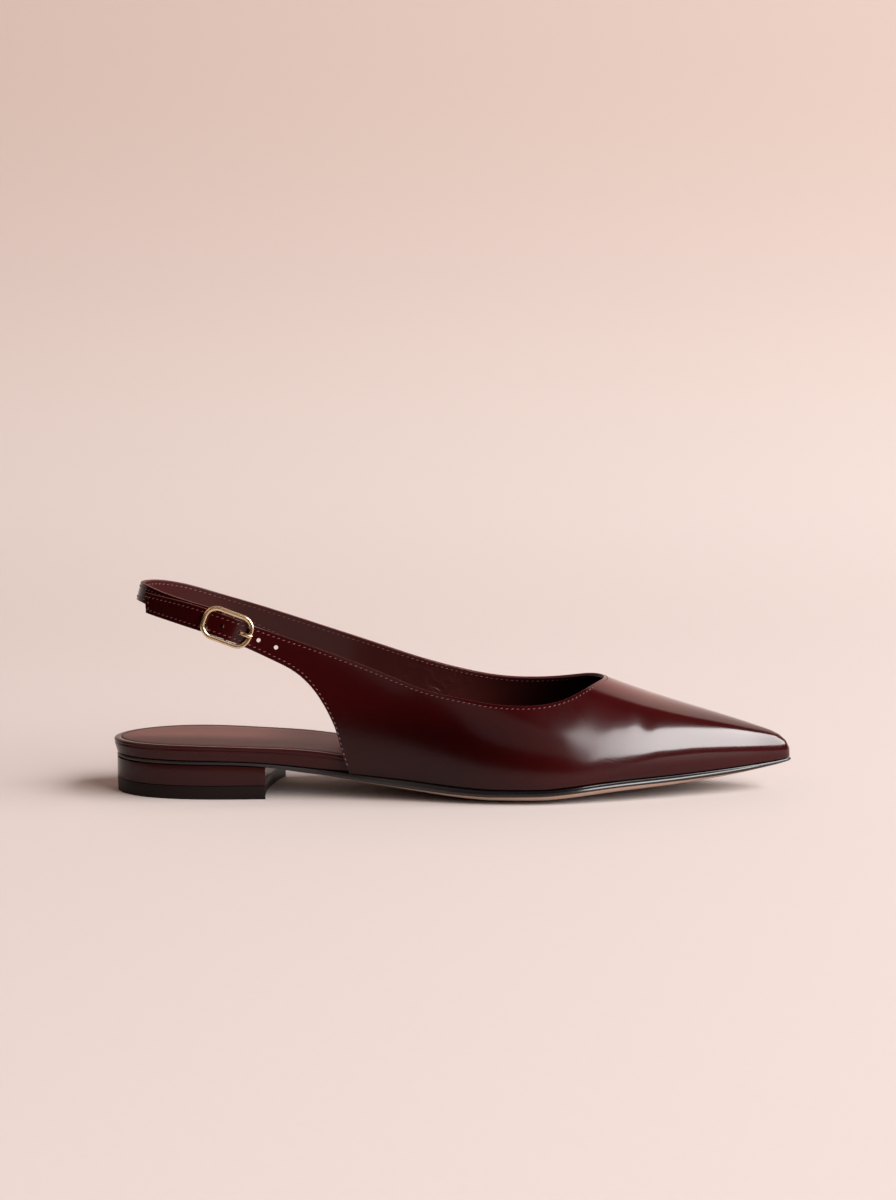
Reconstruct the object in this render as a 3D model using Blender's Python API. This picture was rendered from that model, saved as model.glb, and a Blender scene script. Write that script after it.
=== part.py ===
"""Right sling back flat: pointed vamp and quarters in one piece, a punched strap that buckles
to the sling on the outer side, covered insole with its sock, leather outsole and a low heel.

Frame: +X to the toe, -Y to the outer (lateral) side, +Z up, floor at Z = 0, middle of the
length at X = 0. Distances called along run from the back of the heel seat to the toe.
"""
import math
from collections import namedtuple

import bmesh
import bpy
import numpy as np

MM = 0.001

# Driving sizes of the shoe
SHOE_LENGTH = 268 * MM
BALL_WIDTH = 76 * MM
INSTEP_HEIGHT = 44.3 * MM
SEAT_HEIGHT = 13.5 * MM
TOE_SPRING = 11.2 * MM
STRAP_HEIGHT = 82 * MM
CLEARANCE = 0.3 * MM

# Leathers
UPPER_WALL = 1.5 * MM
SOLE_EDGE = 3.7 * MM
SOLE_PROUD = 0.6 * MM
SOLE_CROWN = 1.8 * MM
INSOLE_DEPTH = 6.3 * MM
SOCK_DEPTH = 0.9 * MM
SOCK_INSET = 1.7 * MM
SEAT_SHARE = 0.6
TOE_EASE = 0.6 * MM
SOCK_END = 0.86
CHAPE_DEPTH = 0.7 * MM
CHAPE_WIDTH = 7.8 * MM
CHAPE_LENGTH = 9.5 * MM
SLOT_WIDTH = 2.0 * MM
SLOT_LENGTH = 2.4 * MM

# Heel
TOP_LIFT_DEPTH = 5.2 * MM
HEEL_LENGTH = 61.5 * MM
BREAST_SKEW = 4.8 * MM
BREAST_HOLLOW = 2.6 * MM
HEEL_INSET = 1.1 * MM
LIFT_TAPER = 0.2 * MM
BREAST_REACH = 6

# Strap, sling and buckle
STRAP_WIDTH = 8.8 * MM
HOLE_PITCH = 7.4 * MM
HOLE_WIDTH = 1.65 * MM
HOLE_COUNT = 4
FRAME_LENGTH = 20.2 * MM
FRAME_HEIGHT = 13.1 * MM
FRAME_CORNER = 5.4 * MM
WIRE_WIDTH = 1.7 * MM
BAR_WIDTH = 1.2 * MM
PRONG_WIDTH = 1.0 * MM
BUCKLE_TILT = math.radians(20.5)

# The last runs a little past the insole, as far as the wall of the upper and its clearance
WALL_SPACE = UPPER_WALL + CLEARANCE
LAST_BACK = -WALL_SPACE
LAST_FRONT = SHOE_LENGTH - SOLE_PROUD
LAST_LENGTH = LAST_FRONT - LAST_BACK

# Outside of the upper, a row for each section. along is a share of SHOE_LENGTH, lateral,
# medial, bulge and shift are shares of BALL_WIDTH, widest and ridge of INSTEP_HEIGHT.
# lateral and medial are the half widths at the feather line, bulge is how far the wall swells
# past them, widest the height of that swell and ridge the height of the section's top. Behind
# the throat the ridge is the top of the leg, which no leather reaches.
Section = namedtuple("Section", "along lateral medial bulge widest ridge shift")
LAST = (
    Section(-0.0067, 0.000, 0.000, 0.000, 0.56, 3.40, 0.000),
    Section(0.045, 0.290, 0.290, 0.010, 0.56, 3.40, 0.000),
    Section(0.134, 0.376, 0.376, 0.018, 0.54, 3.30, 0.000),
    Section(0.230, 0.368, 0.362, 0.018, 0.44, 2.90, 0.010),
    Section(0.350, 0.362, 0.352, 0.010, 0.265, 2.20, 0.025),
    Section(0.410, 0.380, 0.368, 0.008, 0.245, 1.95, 0.035),
    Section(0.478, 0.426, 0.408, 0.008, 0.200, 1.72, 0.045),
    Section(0.540, 0.469, 0.453, 0.008, 0.165, 1.50, 0.050),
    Section(0.597, 0.486, 0.480, 0.008, 0.155, 1.34, 0.050),
    Section(0.664, 0.466, 0.478, 0.010, 0.175, 1.15, 0.045),
    Section(0.723, 0.414, 0.442, 0.014, 0.245, 1.00, 0.040),
    Section(0.798, 0.326, 0.352, 0.016, 0.325, 0.842, 0.030),
    Section(0.858, 0.246, 0.268, 0.012, 0.355, 0.732, 0.020),
    Section(0.912, 0.170, 0.186, 0.008, 0.350, 0.635, 0.010),
    Section(0.950, 0.112, 0.123, 0.004, 0.345, 0.560, 0.005),
    Section(0.980, 0.063, 0.069, 0.001, 0.340, 0.490, 0.000),
    Section(0.9977, 0.000, 0.000, 0.000, 0.340, 0.340, 0.000),
)
SECTION_FULLNESS = 2.1

# Outsole and insole, a row for each section. seat is a share of SEAT_HEIGHT, spring of
# TOE_SPRING, crown of SOLE_CROWN, edge of SOLE_EDGE and pad of INSOLE_DEPTH.
Sole = namedtuple("Sole", "along seat spring crown edge pad")
SOLE = (
    Sole(0.000, 1.000, 0.000, 0.00, 0.35, 0.93),
    Sole(0.134, 1.000, 0.000, 0.00, 0.35, 0.93),
    Sole(0.230, 0.911, 0.000, 0.02, 0.38, 0.95),
    Sole(0.272, 0.780, 0.000, 0.12, 0.50, 1.04),
    Sole(0.336, 0.585, 0.000, 0.28, 0.62, 1.02),
    Sole(0.396, 0.385, 0.000, 0.55, 0.78, 0.80),
    Sole(0.448, 0.215, 0.000, 0.80, 0.92, 0.62),
    Sole(0.500, 0.075, 0.000, 0.95, 0.99, 0.52),
    Sole(0.550, 0.000, 0.000, 1.00, 1.00, 0.46),
    Sole(0.630, 0.000, 0.000, 1.00, 1.00, 0.42),
    Sole(0.664, 0.000, 0.045, 1.05, 1.02, 0.40),
    Sole(0.709, 0.000, 0.143, 1.08, 1.03, 0.38),
    Sole(0.769, 0.000, 0.286, 0.82, 1.00, 0.36),
    Sole(0.821, 0.000, 0.410, 0.50, 0.94, 0.34),
    Sole(0.858, 0.000, 0.510, 0.33, 0.86, 0.32),
    Sole(0.918, 0.000, 0.690, 0.17, 0.65, 0.30),
    Sole(1.000, 0.000, 1.000, 0.05, 0.27, 0.24),
)

# Topline of each side: height as a share of INSTEP_HEIGHT over along as a share of SHOE_LENGTH
Edge = namedtuple("Edge", "along height")
STRAP_TIP = 0.0605
THROAT = 0.7227
TOPLINE_LATERAL = (
    Edge(0.0605, 1.788), Edge(0.135, 1.709), Edge(0.219, 1.526), Edge(0.284, 1.382),
    Edge(0.357, 1.216), Edge(0.407, 1.097), Edge(0.456, 0.985), Edge(0.505, 0.917),
    Edge(0.554, 0.866), Edge(0.594, 0.847), Edge(0.626, 0.850), Edge(0.664, 0.892),
    Edge(0.690, 0.949), Edge(0.710, 0.989), Edge(0.7227, 1.000),
)
TOPLINE_MEDIAL = (
    Edge(0.191, 1.608), Edge(0.269, 1.466), Edge(0.329, 1.351), Edge(0.390, 1.229),
    Edge(0.453, 1.097), Edge(0.511, 0.995), Edge(0.571, 0.922), Edge(0.626, 0.910),
    Edge(0.664, 0.933), Edge(0.690, 0.965), Edge(0.710, 0.992), Edge(0.7227, 1.000),
)
# Sling round the heel, and the end of the last there
SLING_BACK = 0.042
SLING_TURN = 0.157
SLING_LEAN = 0.26
SLING_TOP = (
    Edge(0.85, 1.660), Edge(0.60, 1.774), Edge(0.30, 1.845), Edge(0.00, 1.857),
    Edge(-0.25, 1.850), Edge(-0.45, 1.808), Edge(-0.70, 1.732), Edge(-0.90, 1.659),
)
SLING_END = -0.885
# Width of the sling as a share of STRAP_WIDTH
SLING_WIDTH = (
    Edge(1.00, 1.00), Edge(0.60, 0.98), Edge(0.30, 0.90), Edge(0.00, 0.80), Edge(-0.45, 0.80),
    Edge(-1.00, 0.80),
)

# Lower edge of strap and quarter, down to the feather line at the front of the gap
LOW_LATERAL = (
    Edge(0.0675, 1.612), Edge(0.100, 1.562), Edge(0.140, 1.494), Edge(0.176, 1.419),
    Edge(0.212, 1.323), Edge(0.246, 1.223), Edge(0.275, 1.122), Edge(0.297, 0.994),
    Edge(0.313, 0.854), Edge(0.325, 0.714), Edge(0.3335, 0.578), Edge(0.3405, 0.415),
    Edge(0.3505, 0.235),
)
LOW_MEDIAL = (
    Edge(0.186, 1.415), Edge(0.212, 1.345), Edge(0.246, 1.245), Edge(0.275, 1.135),
    Edge(0.297, 1.012), Edge(0.313, 0.875), Edge(0.325, 0.735), Edge(0.334, 0.592),
    Edge(0.342, 0.431), Edge(0.3505, 0.235),
)

# How the topline and the lower edge are paired across the leather, as shares of SHOE_LENGTH
Pair = namedtuple("Pair", "top low")
STRAP_PAIRS = (
    Pair(0.0605, 0.0675), Pair(0.093, 0.092), Pair(0.149, 0.141), Pair(0.187, 0.177),
    Pair(0.224, 0.212), Pair(0.254, 0.243), Pair(0.284, 0.274), Pair(0.313, 0.303),
    Pair(0.336, 0.328), Pair(0.357, 0.3505),
)
VAMP_PAIRS = (
    Pair(0.357, 0.3505), Pair(0.410, 0.408), Pair(0.485, 0.489), Pair(0.560, 0.572),
    Pair(0.627, 0.672), Pair(0.672, 0.769), Pair(0.701, 0.866), Pair(0.7175, 0.944),
    Pair(0.7227, 0.9977),
)

# Lift of the punched strap off the last, as a share of the stack at the buckle
Lift = namedtuple("Lift", "along share")
STRAP_LIFT = (
    Lift(0.0605, 0.66), Lift(0.100, 0.68), Lift(0.122, 0.86), Lift(0.140, 1.00),
    Lift(0.160, 1.03), Lift(0.184, 1.06), Lift(0.192, 0.94), Lift(0.202, 0.60),
    Lift(0.213, 0.30), Lift(0.226, 0.12), Lift(0.246, 0.02), Lift(0.266, 0.00),
)
STACK_LIFT = UPPER_WALL + CHAPE_DEPTH + 2 * CLEARANCE

# Edges of the sole, the insole and the sock from the bottom up: how far the edge is drawn in
# and the share of the way from bottom to top
Ring = namedtuple("Ring", "inset share")
OUTSOLE_EDGE = (
    Ring(0.3 * MM, 0), Ring(0, 0.2), Ring(0, 0.8), Ring(0.2 * MM, 1),
)
INSOLE_EDGE = (
    Ring(1.3 * MM, 0), Ring(0.5 * MM, 0.3), Ring(0, 0.6), Ring(0, 0.8), Ring(0.4 * MM, 0.95),
    Ring(1.0 * MM, 1), Ring(1.4 * MM, 1),
)
SOCK_EDGE = (
    Ring(0, 0), Ring(0, 0.5), Ring(0.35 * MM, 1),
)
# Share of the tread's half width that is flat, and of its crown that the sole is filled by
TREAD_FLAT = 0.45
SOLE_FILL = 0.45
# Where along the shoe the sole widens from the heel to the upper, and the insole draws in
WAIST_START = 0.30
WAIST_END = 0.40
TOE_START = 0.85

# Mesh counts
ROWS = 10
VAMP_COLUMNS = 26
QUARTER_COLUMNS = 12
TIP_COLUMNS = 8
SLING_COLUMNS = 30
PLATE_STATIONS = 40
PLATE_LANES = 6
SOCK_STATIONS = 32
HEEL_STATIONS = 14
HOLE_SIDES = 12
FOLD_STEPS = 8
CHAPE_STEPS = 6
FRAME_SIDES = 12
BAR_SIDES = 10
PRONG_SIDES = 8
EYE_STEPS = 9
PRONG_STATIONS = 34


class Smooth:
    """Natural cubic spline through the points of a table."""

    def __init__(self, places, values):
        order = np.argsort(places)
        self.x = np.asarray(places, float)[order]
        self.y = np.asarray(values, float)[order]
        count = len(self.x)
        step = np.diff(self.x)
        system = np.eye(count)
        right = np.zeros(count)
        for i in range(1, count - 1):
            system[i, i - 1:i + 2] = step[i - 1], 2 * (step[i - 1] + step[i]), step[i]
            right[i] = 6 * ((self.y[i + 1] - self.y[i]) / step[i]
                            - (self.y[i] - self.y[i - 1]) / step[i - 1])
        self.bend = np.linalg.solve(system, right)

    def __call__(self, place):
        place = np.clip(place, self.x[0], self.x[-1])
        i = np.clip(np.searchsorted(self.x, place) - 1, 0, len(self.x) - 2)
        step = self.x[i + 1] - self.x[i]
        a = (self.x[i + 1] - place) / step
        b = 1 - a
        return (a * self.y[i] + b * self.y[i + 1]
                + ((a ** 3 - a) * self.bend[i] + (b ** 3 - b) * self.bend[i + 1]) * step ** 2 / 6)


def swing(x, back=LAST_BACK, length=LAST_LENGTH):
    """Angle from 0 at the back to pi at the tip, which spreads both rounded ends."""
    return np.arccos(np.clip(1 - 2 * (np.asarray(x, float) - back) / length, -1, 1))


def unswing(angle, back=LAST_BACK, length=LAST_LENGTH):
    return back + length * (1 - np.cos(angle)) / 2


def last_column(name, size):
    table = Smooth([swing(row.along * SHOE_LENGTH) for row in LAST],
                   [getattr(row, name) * size for row in LAST])
    return lambda x: table(swing(x))


LATERAL = last_column("lateral", BALL_WIDTH)
MEDIAL = last_column("medial", BALL_WIDTH)
BULGE = last_column("bulge", BALL_WIDTH)
WIDEST = last_column("widest", INSTEP_HEIGHT)
RIDGE = last_column("ridge", INSTEP_HEIGHT)
SHIFT = last_column("shift", BALL_WIDTH)


def sole_column(name, size):
    table = Smooth([row.along * SHOE_LENGTH for row in SOLE],
                   [getattr(row, name) * size for row in SOLE])
    return table


SEAT = sole_column("seat", SEAT_HEIGHT)
SPRING = sole_column("spring", TOE_SPRING)
CROWN = sole_column("crown", SOLE_CROWN)
EDGE = sole_column("edge", SOLE_EDGE)
PAD = sole_column("pad", INSOLE_DEPTH)


def feather(x, side):
    """Half width of the upper where it meets the sole; side is -1 lateral, 1 medial."""
    return LATERAL(x) if side < 0 else MEDIAL(x)


def crown_share(x, y):
    """0 in the middle of the tread, 1 at its edge."""
    reach = np.clip(np.abs(y) / max(feather(x, np.sign(y)), MM), 0, 1)
    rise = np.clip((reach - TREAD_FLAT) / (1 - TREAD_FLAT), 0, 1)
    return rise * rise * (3 - 2 * rise)


def tread(x):
    return max(0.0, float(SEAT(x) + SPRING(x)))


def sole_bottom(x, y):
    return tread(x) + CROWN(x) * crown_share(x, y)


def sole_top(x, y):
    return tread(x) + CROWN(x) * (SOLE_FILL + (1 - SOLE_FILL) * crown_share(x, y)) + EDGE(x)


def feather_height(x):
    return tread(x) + CROWN(x) + EDGE(x) + CLEARANCE


def insole_top(x, y):
    return sole_top(x, y) + CLEARANCE + PAD(x)


def sock_seat(x, y):
    """Surface the sock lies on, sunk into the insole so that the two end up level."""
    return insole_top(x, y) - min(SOCK_DEPTH + CLEARANCE, SEAT_SHARE * PAD(x))


def half_width(x, z, side):
    """Half width of the outside of the upper at height z of the section at x."""
    shift = side * SHIFT(x)
    widest = WIDEST(x)
    full = feather(x, side) + BULGE(x) - shift
    rise = np.clip((z - widest) / (RIDGE(x) - widest), 0, 1)
    above = full * (1 - rise ** SECTION_FULLNESS) ** (1 / SECTION_FULLNESS)
    drop = np.clip((widest - z) / (widest - feather_height(x)), 0, 1)
    return shift + above - BULGE(x) * drop ** 2


def dome_height(x, y):
    """Height of the outside of the vamp over a place in plan."""
    side = -1 if y < SHIFT(x) else 1
    full = max(feather(x, side) + BULGE(x) - side * SHIFT(x), 1e-7)
    reach = np.clip(abs(y - SHIFT(x)) / full, 0, 1)
    top = (1 - reach ** SECTION_FULLNESS) ** (1 / SECTION_FULLNESS)
    return WIDEST(x) + (RIDGE(x) - WIDEST(x)) * top


# The wall of the leg is laid out by its reach: the way along it from the back of the sling,
# plus on the medial side and minus on the lateral side.
LOOP_BACK = SLING_BACK * SHOE_LENGTH
LOOP_TURN = SLING_TURN * SHOE_LENGTH
LOOP_REACH = LOOP_TURN * math.pi / 2


def reach_of(x):
    if x >= LOOP_BACK + LOOP_TURN:
        return LOOP_REACH + x - LOOP_BACK - LOOP_TURN
    return LOOP_TURN * math.acos(1 - (x - LOOP_BACK) / LOOP_TURN)


def wall_point(reach, z):
    way = abs(reach)
    side = 1 if reach >= 0 else -1
    if way >= LOOP_REACH:
        x = LOOP_BACK + LOOP_TURN + way - LOOP_REACH
        return np.array([x, side * half_width(x, z, side), z])
    angle = way / LOOP_TURN
    lean = SLING_LEAN * (z - STRAP_HEIGHT) * math.cos(angle) ** 2
    x = LOOP_BACK + LOOP_TURN * (1 - math.cos(angle)) + lean
    return np.array([x, side * math.sin(angle) * half_width(max(x, LOOP_TURN), z, side), z])


def wall_normal(reach, z):
    step = 0.2 * MM
    along = wall_point(reach + step, z) - wall_point(reach - step, z)
    up = wall_point(reach, z + step) - wall_point(reach, z - step)
    normal = np.cross(up, along)
    return normal / np.linalg.norm(normal)


def edge_curve(rows):
    return Smooth([row.along * SHOE_LENGTH for row in rows],
                  [row.height * INSTEP_HEIGHT for row in rows])


def resample(path, count):
    """Points at equal steps along a fine path."""
    path = np.asarray(path)
    run = np.concatenate([[0], np.cumsum(np.linalg.norm(np.diff(path, axis=0), axis=1))])
    want = np.linspace(0, run[-1], count)
    return np.stack([np.interp(want, run, path[:, k]) for k in range(3)], axis=1)


def wall_strip(top, low):
    """Column of the leather from one edge to the other, each edge a (reach, height)."""
    shares = np.linspace(0, 1, 4 * ROWS + 1)
    path = [wall_point(top[0] + (low[0] - top[0]) * s, top[1] + (low[1] - top[1]) * s)
            for s in shares]
    return resample(path, ROWS + 1)


def vamp_strip(top, foot, side):
    """Column from a point of the throat over the vamp and down to the feather line."""
    full = side * (feather(foot, side) + BULGE(foot))
    path = []
    for turn in np.linspace(0, math.pi / 2, 6 * ROWS + 1):
        share = math.sin(turn)
        x = top[0] + (foot - top[0]) * share
        y = top[1] + (full - top[1]) * share
        path.append((x, y, dome_height(x, y)))
    path[-1] = (foot, full, float(WIDEST(foot)))
    drop = float(WIDEST(foot) - feather_height(foot))
    for share in np.linspace(0, 1, ROWS)[1:]:
        path.append((foot, full - side * BULGE(foot) * share ** 2, WIDEST(foot) - drop * share))
    return resample(path, ROWS + 1)


def paired(rows, count):
    """Topline and lower places, eased through the rows of a pairing table."""
    steps = range(len(rows))
    top = Smooth(steps, [math.sqrt(max(THROAT - row.top, 0)) for row in rows])
    low = Smooth(steps, [float(swing(row.low * SHOE_LENGTH)) for row in rows])
    places = np.linspace(0, len(rows) - 1, count + 1)
    return [((THROAT - float(top(p)) ** 2) * SHOE_LENGTH, float(unswing(float(low(p)))))
            for p in places]


def vamp_side(side, topline):
    """Columns from the foot of the quarter to the tip of the toe."""
    strips = []
    for place, (top_x, low_x) in enumerate(paired(VAMP_PAIRS, VAMP_COLUMNS)):
        top_z = float(topline(top_x))
        if place <= VAMP_COLUMNS * 3 / 8:
            low = (reach_of(low_x) * side, float(feather_height(low_x)))
            strips.append(wall_strip((reach_of(top_x) * side, top_z), low))
        elif place == VAMP_COLUMNS:
            strips.append(vamp_strip((top_x, float(SHIFT(top_x))), low_x, side))
        else:
            strips.append(vamp_strip((top_x, side * half_width(top_x, top_z, side)), low_x, side))
    return strips


# Strap holes: the prong hole lies in front of the bar, the others a pitch apart
FRAME_ALONG = 0.178
FRAME_RISE = 1.525
BAR_AHEAD = 0.6 * MM
PRONG_HOLE_AHEAD = 4.3 * MM
TOP_ABOVE_HOLE = 1.5 * MM
FIRST_HOLE = -1
BAR_OFF = -UPPER_WALL / 2
PRONG_PLAY = 0.15 * MM
CORNER_STEPS = 8

LATERAL_TOP = edge_curve(TOPLINE_LATERAL)
LATERAL_LOW = edge_curve(LOW_LATERAL)
MEDIAL_LOW = edge_curve(LOW_MEDIAL)
LOW_OF_TOP = Smooth([row.top * SHOE_LENGTH for row in STRAP_PAIRS],
                    [row.low * SHOE_LENGTH for row in STRAP_PAIRS])
LIFT = Smooth([row.along * SHOE_LENGTH for row in STRAP_LIFT],
              [row.share * STACK_LIFT for row in STRAP_LIFT])
SLING_BREADTH = Smooth([row.along * LOOP_REACH for row in SLING_WIDTH],
                       [row.height * STRAP_WIDTH for row in SLING_WIDTH])
MEDIAL_TOP = Smooth(
    [reach_of(row.along * SHOE_LENGTH) for row in TOPLINE_MEDIAL]
    + [row.along * LOOP_REACH for row in SLING_TOP],
    [row.height * INSTEP_HEIGHT for row in TOPLINE_MEDIAL]
    + [row.height * INSTEP_HEIGHT for row in SLING_TOP])


def hole_places():
    """Topline places of the columns that run through the holes, from the tip on."""
    pitch = HOLE_PITCH * math.cos(BUCKLE_TILT)
    bar = FRAME_ALONG * SHOE_LENGTH + BAR_AHEAD
    prong = bar + PRONG_HOLE_AHEAD * math.cos(BUCKLE_TILT) + TOP_ABOVE_HOLE
    return [prong + (FIRST_HOLE + k) * pitch for k in range(HOLE_COUNT)]


def strap_columns():
    """Topline places of the punched strap and the lateral quarter."""
    holes = hole_places()
    third = (holes[1] - holes[0]) / 3
    punched = [holes[0] + third * k for k in range(-1, 3 * (HOLE_COUNT - 1) + 2)]
    tip = np.linspace(STRAP_TIP * SHOE_LENGTH, punched[0], TIP_COLUMNS + 1)[:-1]
    quarter_top = VAMP_PAIRS[0].top * SHOE_LENGTH
    quarter = np.linspace(punched[-1], quarter_top, QUARTER_COLUMNS - 3)[1:-1]
    return list(tip) + punched + list(quarter)


def lateral_strips():
    strips, lifts = [], []
    for x in strap_columns():
        low_x = float(LOW_OF_TOP(x))
        top = (-reach_of(x), float(LATERAL_TOP(x)))
        low = (-reach_of(low_x), float(LATERAL_LOW(low_x)))
        strips.append(wall_strip(top, low))
        lifts.append(float(LIFT(x)))
    return strips, lifts


def medial_strips():
    """Medial quarter from the vamp back to the start of the sling."""
    start = LOOP_BACK + LOOP_TURN
    strips = []
    for x in np.linspace(VAMP_PAIRS[0].top * SHOE_LENGTH, start, QUARTER_COLUMNS + 1)[1:]:
        low_x = float(LOW_OF_TOP(x))
        top = (reach_of(x), float(MEDIAL_TOP(reach_of(x))))
        strips.append(wall_strip(top, (reach_of(low_x), float(MEDIAL_LOW(low_x)))))
    return strips


def sling_strips():
    """Sling from the medial strap round the heel to its end at the buckle."""
    strips = []
    probe = 0.5 * MM
    for reach in np.linspace(LOOP_REACH, SLING_END * LOOP_REACH, SLING_COLUMNS + 1)[1:]:
        top = float(MEDIAL_TOP(reach))
        slope = float(MEDIAL_TOP(reach + probe) - MEDIAL_TOP(reach - probe)) / (2 * probe)
        square = math.hypot(1, slope)
        width = float(SLING_BREADTH(reach))
        low = (reach + width * slope / square, top - width / square)
        strips.append(wall_strip((reach, top), low))
    return strips


def normals(grid):
    """Outward normals of a grid whose columns run down and whose rows run to the front."""
    down = np.gradient(grid, axis=1)
    ahead = np.gradient(grid, axis=0)
    normal = np.cross(down, ahead)
    return normal / np.linalg.norm(normal, axis=2, keepdims=True)


def on_grid(grid, column, row):
    """Point of a grid at a place between its columns and rows."""
    j = int(min(max(math.floor(column), 0), len(grid) - 2))
    i = int(min(max(math.floor(row), 0), grid.shape[1] - 2))
    u, v = column - j, row - i
    return ((grid[j, i] * (1 - v) + grid[j, i + 1] * v) * (1 - u)
            + (grid[j + 1, i] * (1 - v) + grid[j + 1, i + 1] * v) * u)


def hole_ring(grid, column, row):
    """Points round a hole, in step with the points of the block about it."""
    across = np.linalg.norm(grid[column + 1, row] - grid[column - 1, row]) / 2
    down = np.linalg.norm(grid[column, row + 1] - grid[column, row - 1]) / 2
    radius = HOLE_WIDTH / 2
    ring = []
    for k in range(HOLE_SIDES):
        angle = math.tau * k / HOLE_SIDES
        ring.append(on_grid(grid, column + radius * math.cos(angle) / across,
                            row + radius * math.sin(angle) / down))
    return ring


# Outline of a hole's block, from the column in front and down, in steps of column and row
BLOCK = ((1, 0), (1, 1), (1, 2), (0, 2), (-1, 2), (-1, 1), (-1, 0), (-1, -1), (-1, -2), (0, -2),
         (1, -2), (1, -1))


def leather_faces(outer, inner, holes=(), absent=frozenset()):
    """Points and faces of a leather wall between two grids, punched at its holes and left out
    at its absent cells."""
    columns, rows = outer.shape[:2]
    points = [tuple(p) for p in outer.reshape(-1, 3)] + [tuple(p) for p in inner.reshape(-1, 3)]
    half = columns * rows

    def place(j, i, side=0):
        return side * half + j * rows + i

    punched = {(j + dj, rows // 2 + di) for j in holes for dj in (-1, 0) for di in (-2, -1, 0, 1)}
    cells = {(j, i) for j in range(columns - 1) for i in range(rows - 1)} - absent
    faces = []
    for j, i in sorted(cells):
        corners = ((j, i), (j, i + 1), (j + 1, i + 1), (j + 1, i))
        if (j, i) not in punched:
            faces.append([place(*c) for c in corners])
            faces.append([place(*c, 1) for c in reversed(corners)])
        beyond = ((j - 1, i), (j, i + 1), (j + 1, i), (j, i - 1))
        for k in range(4):
            if beyond[k] not in cells:
                a, b = corners[k], corners[(k + 1) % 4]
                faces.append((place(*b), place(*a), place(*a, 1), place(*b, 1)))
    for j in holes:
        faces += punch(points, outer, inner, j, rows // 2, place)
    return points, faces


def punch(points, outer, inner, column, row, place):
    """Adds a hole's points, and gives the faces of its wall and of the leather about it."""
    first = len(points)
    points += [tuple(p) for p in hole_ring(outer, column, row)]
    points += [tuple(p) for p in hole_ring(inner, column, row)]
    faces = []
    for k in range(HOLE_SIDES):
        a, b = k, (k + 1) % HOLE_SIDES
        here = [place(column + BLOCK[n][0], row + BLOCK[n][1]) for n in (a, b)]
        inside = [place(column + BLOCK[n][0], row + BLOCK[n][1], 1) for n in (a, b)]
        ring = (first + a, first + b)
        back = (first + HOLE_SIDES + a, first + HOLE_SIDES + b)
        faces.append((here[1], here[0], ring[0], ring[1]))
        faces.append((inside[0], inside[1], back[1], back[0]))
        faces.append((ring[1], ring[0], back[0], back[1]))
    return faces


# Sizes below which points of a body count as one
MERGE = 0.001 * MM
SHARP_EDGE = 50
HEEL_SHARP_EDGE = 35


def make_object(name, points, faces, finish, sharp=SHARP_EDGE):
    """Object of one closed body, moved from distances along to the frame of the shoe."""
    mesh = bpy.data.meshes.new(name)
    body = bmesh.new()
    verts = [body.verts.new((p[0] - SHOE_LENGTH / 2, p[1], p[2])) for p in points]
    for face in faces:
        try:
            body.faces.new([verts[n] for n in face])
        except ValueError:
            continue
    bmesh.ops.remove_doubles(body, verts=body.verts, dist=MERGE)
    bmesh.ops.dissolve_degenerate(body, edges=body.edges, dist=MERGE / 2)
    loose = [v for v in body.verts if not v.link_faces]
    bmesh.ops.delete(body, geom=loose, context="VERTS")
    bmesh.ops.recalc_face_normals(body, faces=body.faces)
    body.to_mesh(mesh)
    body.free()
    mesh.shade_smooth()
    mesh.set_sharp_from_angle(angle=math.radians(sharp))
    thing = bpy.data.objects.new(name, mesh)
    bpy.context.collection.objects.link(thing)
    mesh.materials.append(material(*finish))
    return thing


def material(name, colour, roughness, metallic):
    """The finish of that name, made the first time it is asked for."""
    found = bpy.data.materials.get(name)
    if found:
        return found
    made = bpy.data.materials.new(name)
    made.use_nodes = True
    shader = made.node_tree.nodes["Principled BSDF"]
    shader.inputs["Base Color"].default_value = (*colour, 1)
    shader.inputs["Roughness"].default_value = roughness
    shader.inputs["Metallic"].default_value = metallic
    return made


# Finishes: name, linear colour, roughness and metal share
BURGUNDY = ("burgundy_leather", (0.045, 0.006, 0.007), 0.18, 0)
SOCK_LEATHER = ("sock_leather", (0.16, 0.065, 0.055), 0.5, 0)
SOLE_LEATHER = ("sole_leather", (0.38, 0.2, 0.12), 0.6, 0)
HEEL_FINISH = ("heel_finish", (0.04, 0.009, 0.009), 0.25, 0)
RUBBER = ("black_rubber", (0.012, 0.01, 0.01), 0.6, 0)
GOLD = ("gold_metal", (0.83, 0.6, 0.36), 0.2, 1)


# Step of the swing over which the direction of an outline is read
SWING_STEP = 0.004


def offset_outline(distance, angles):
    """Lateral and medial plan points of the feather line, moved outwards by a distance."""
    sides = []
    for side in (-1, 1):
        line = []
        for angle in angles:
            a, b = max(angle - SWING_STEP, 0), min(angle + SWING_STEP, math.pi)
            ahead = (unswing(b) - unswing(a),
                     side * (feather(unswing(b), side) - feather(unswing(a), side)))
            if angle <= 0 or angle >= math.pi:
                out = (-1 if angle <= 0 else 1, 0)
            else:
                size = math.hypot(*ahead)
                out = (-ahead[1] * side / size, ahead[0] * side / size)
            x = unswing(angle)
            line.append((x + out[0] * distance, side * feather(x, side) + out[1] * distance))
        sides.append(line)
    return sides


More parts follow.
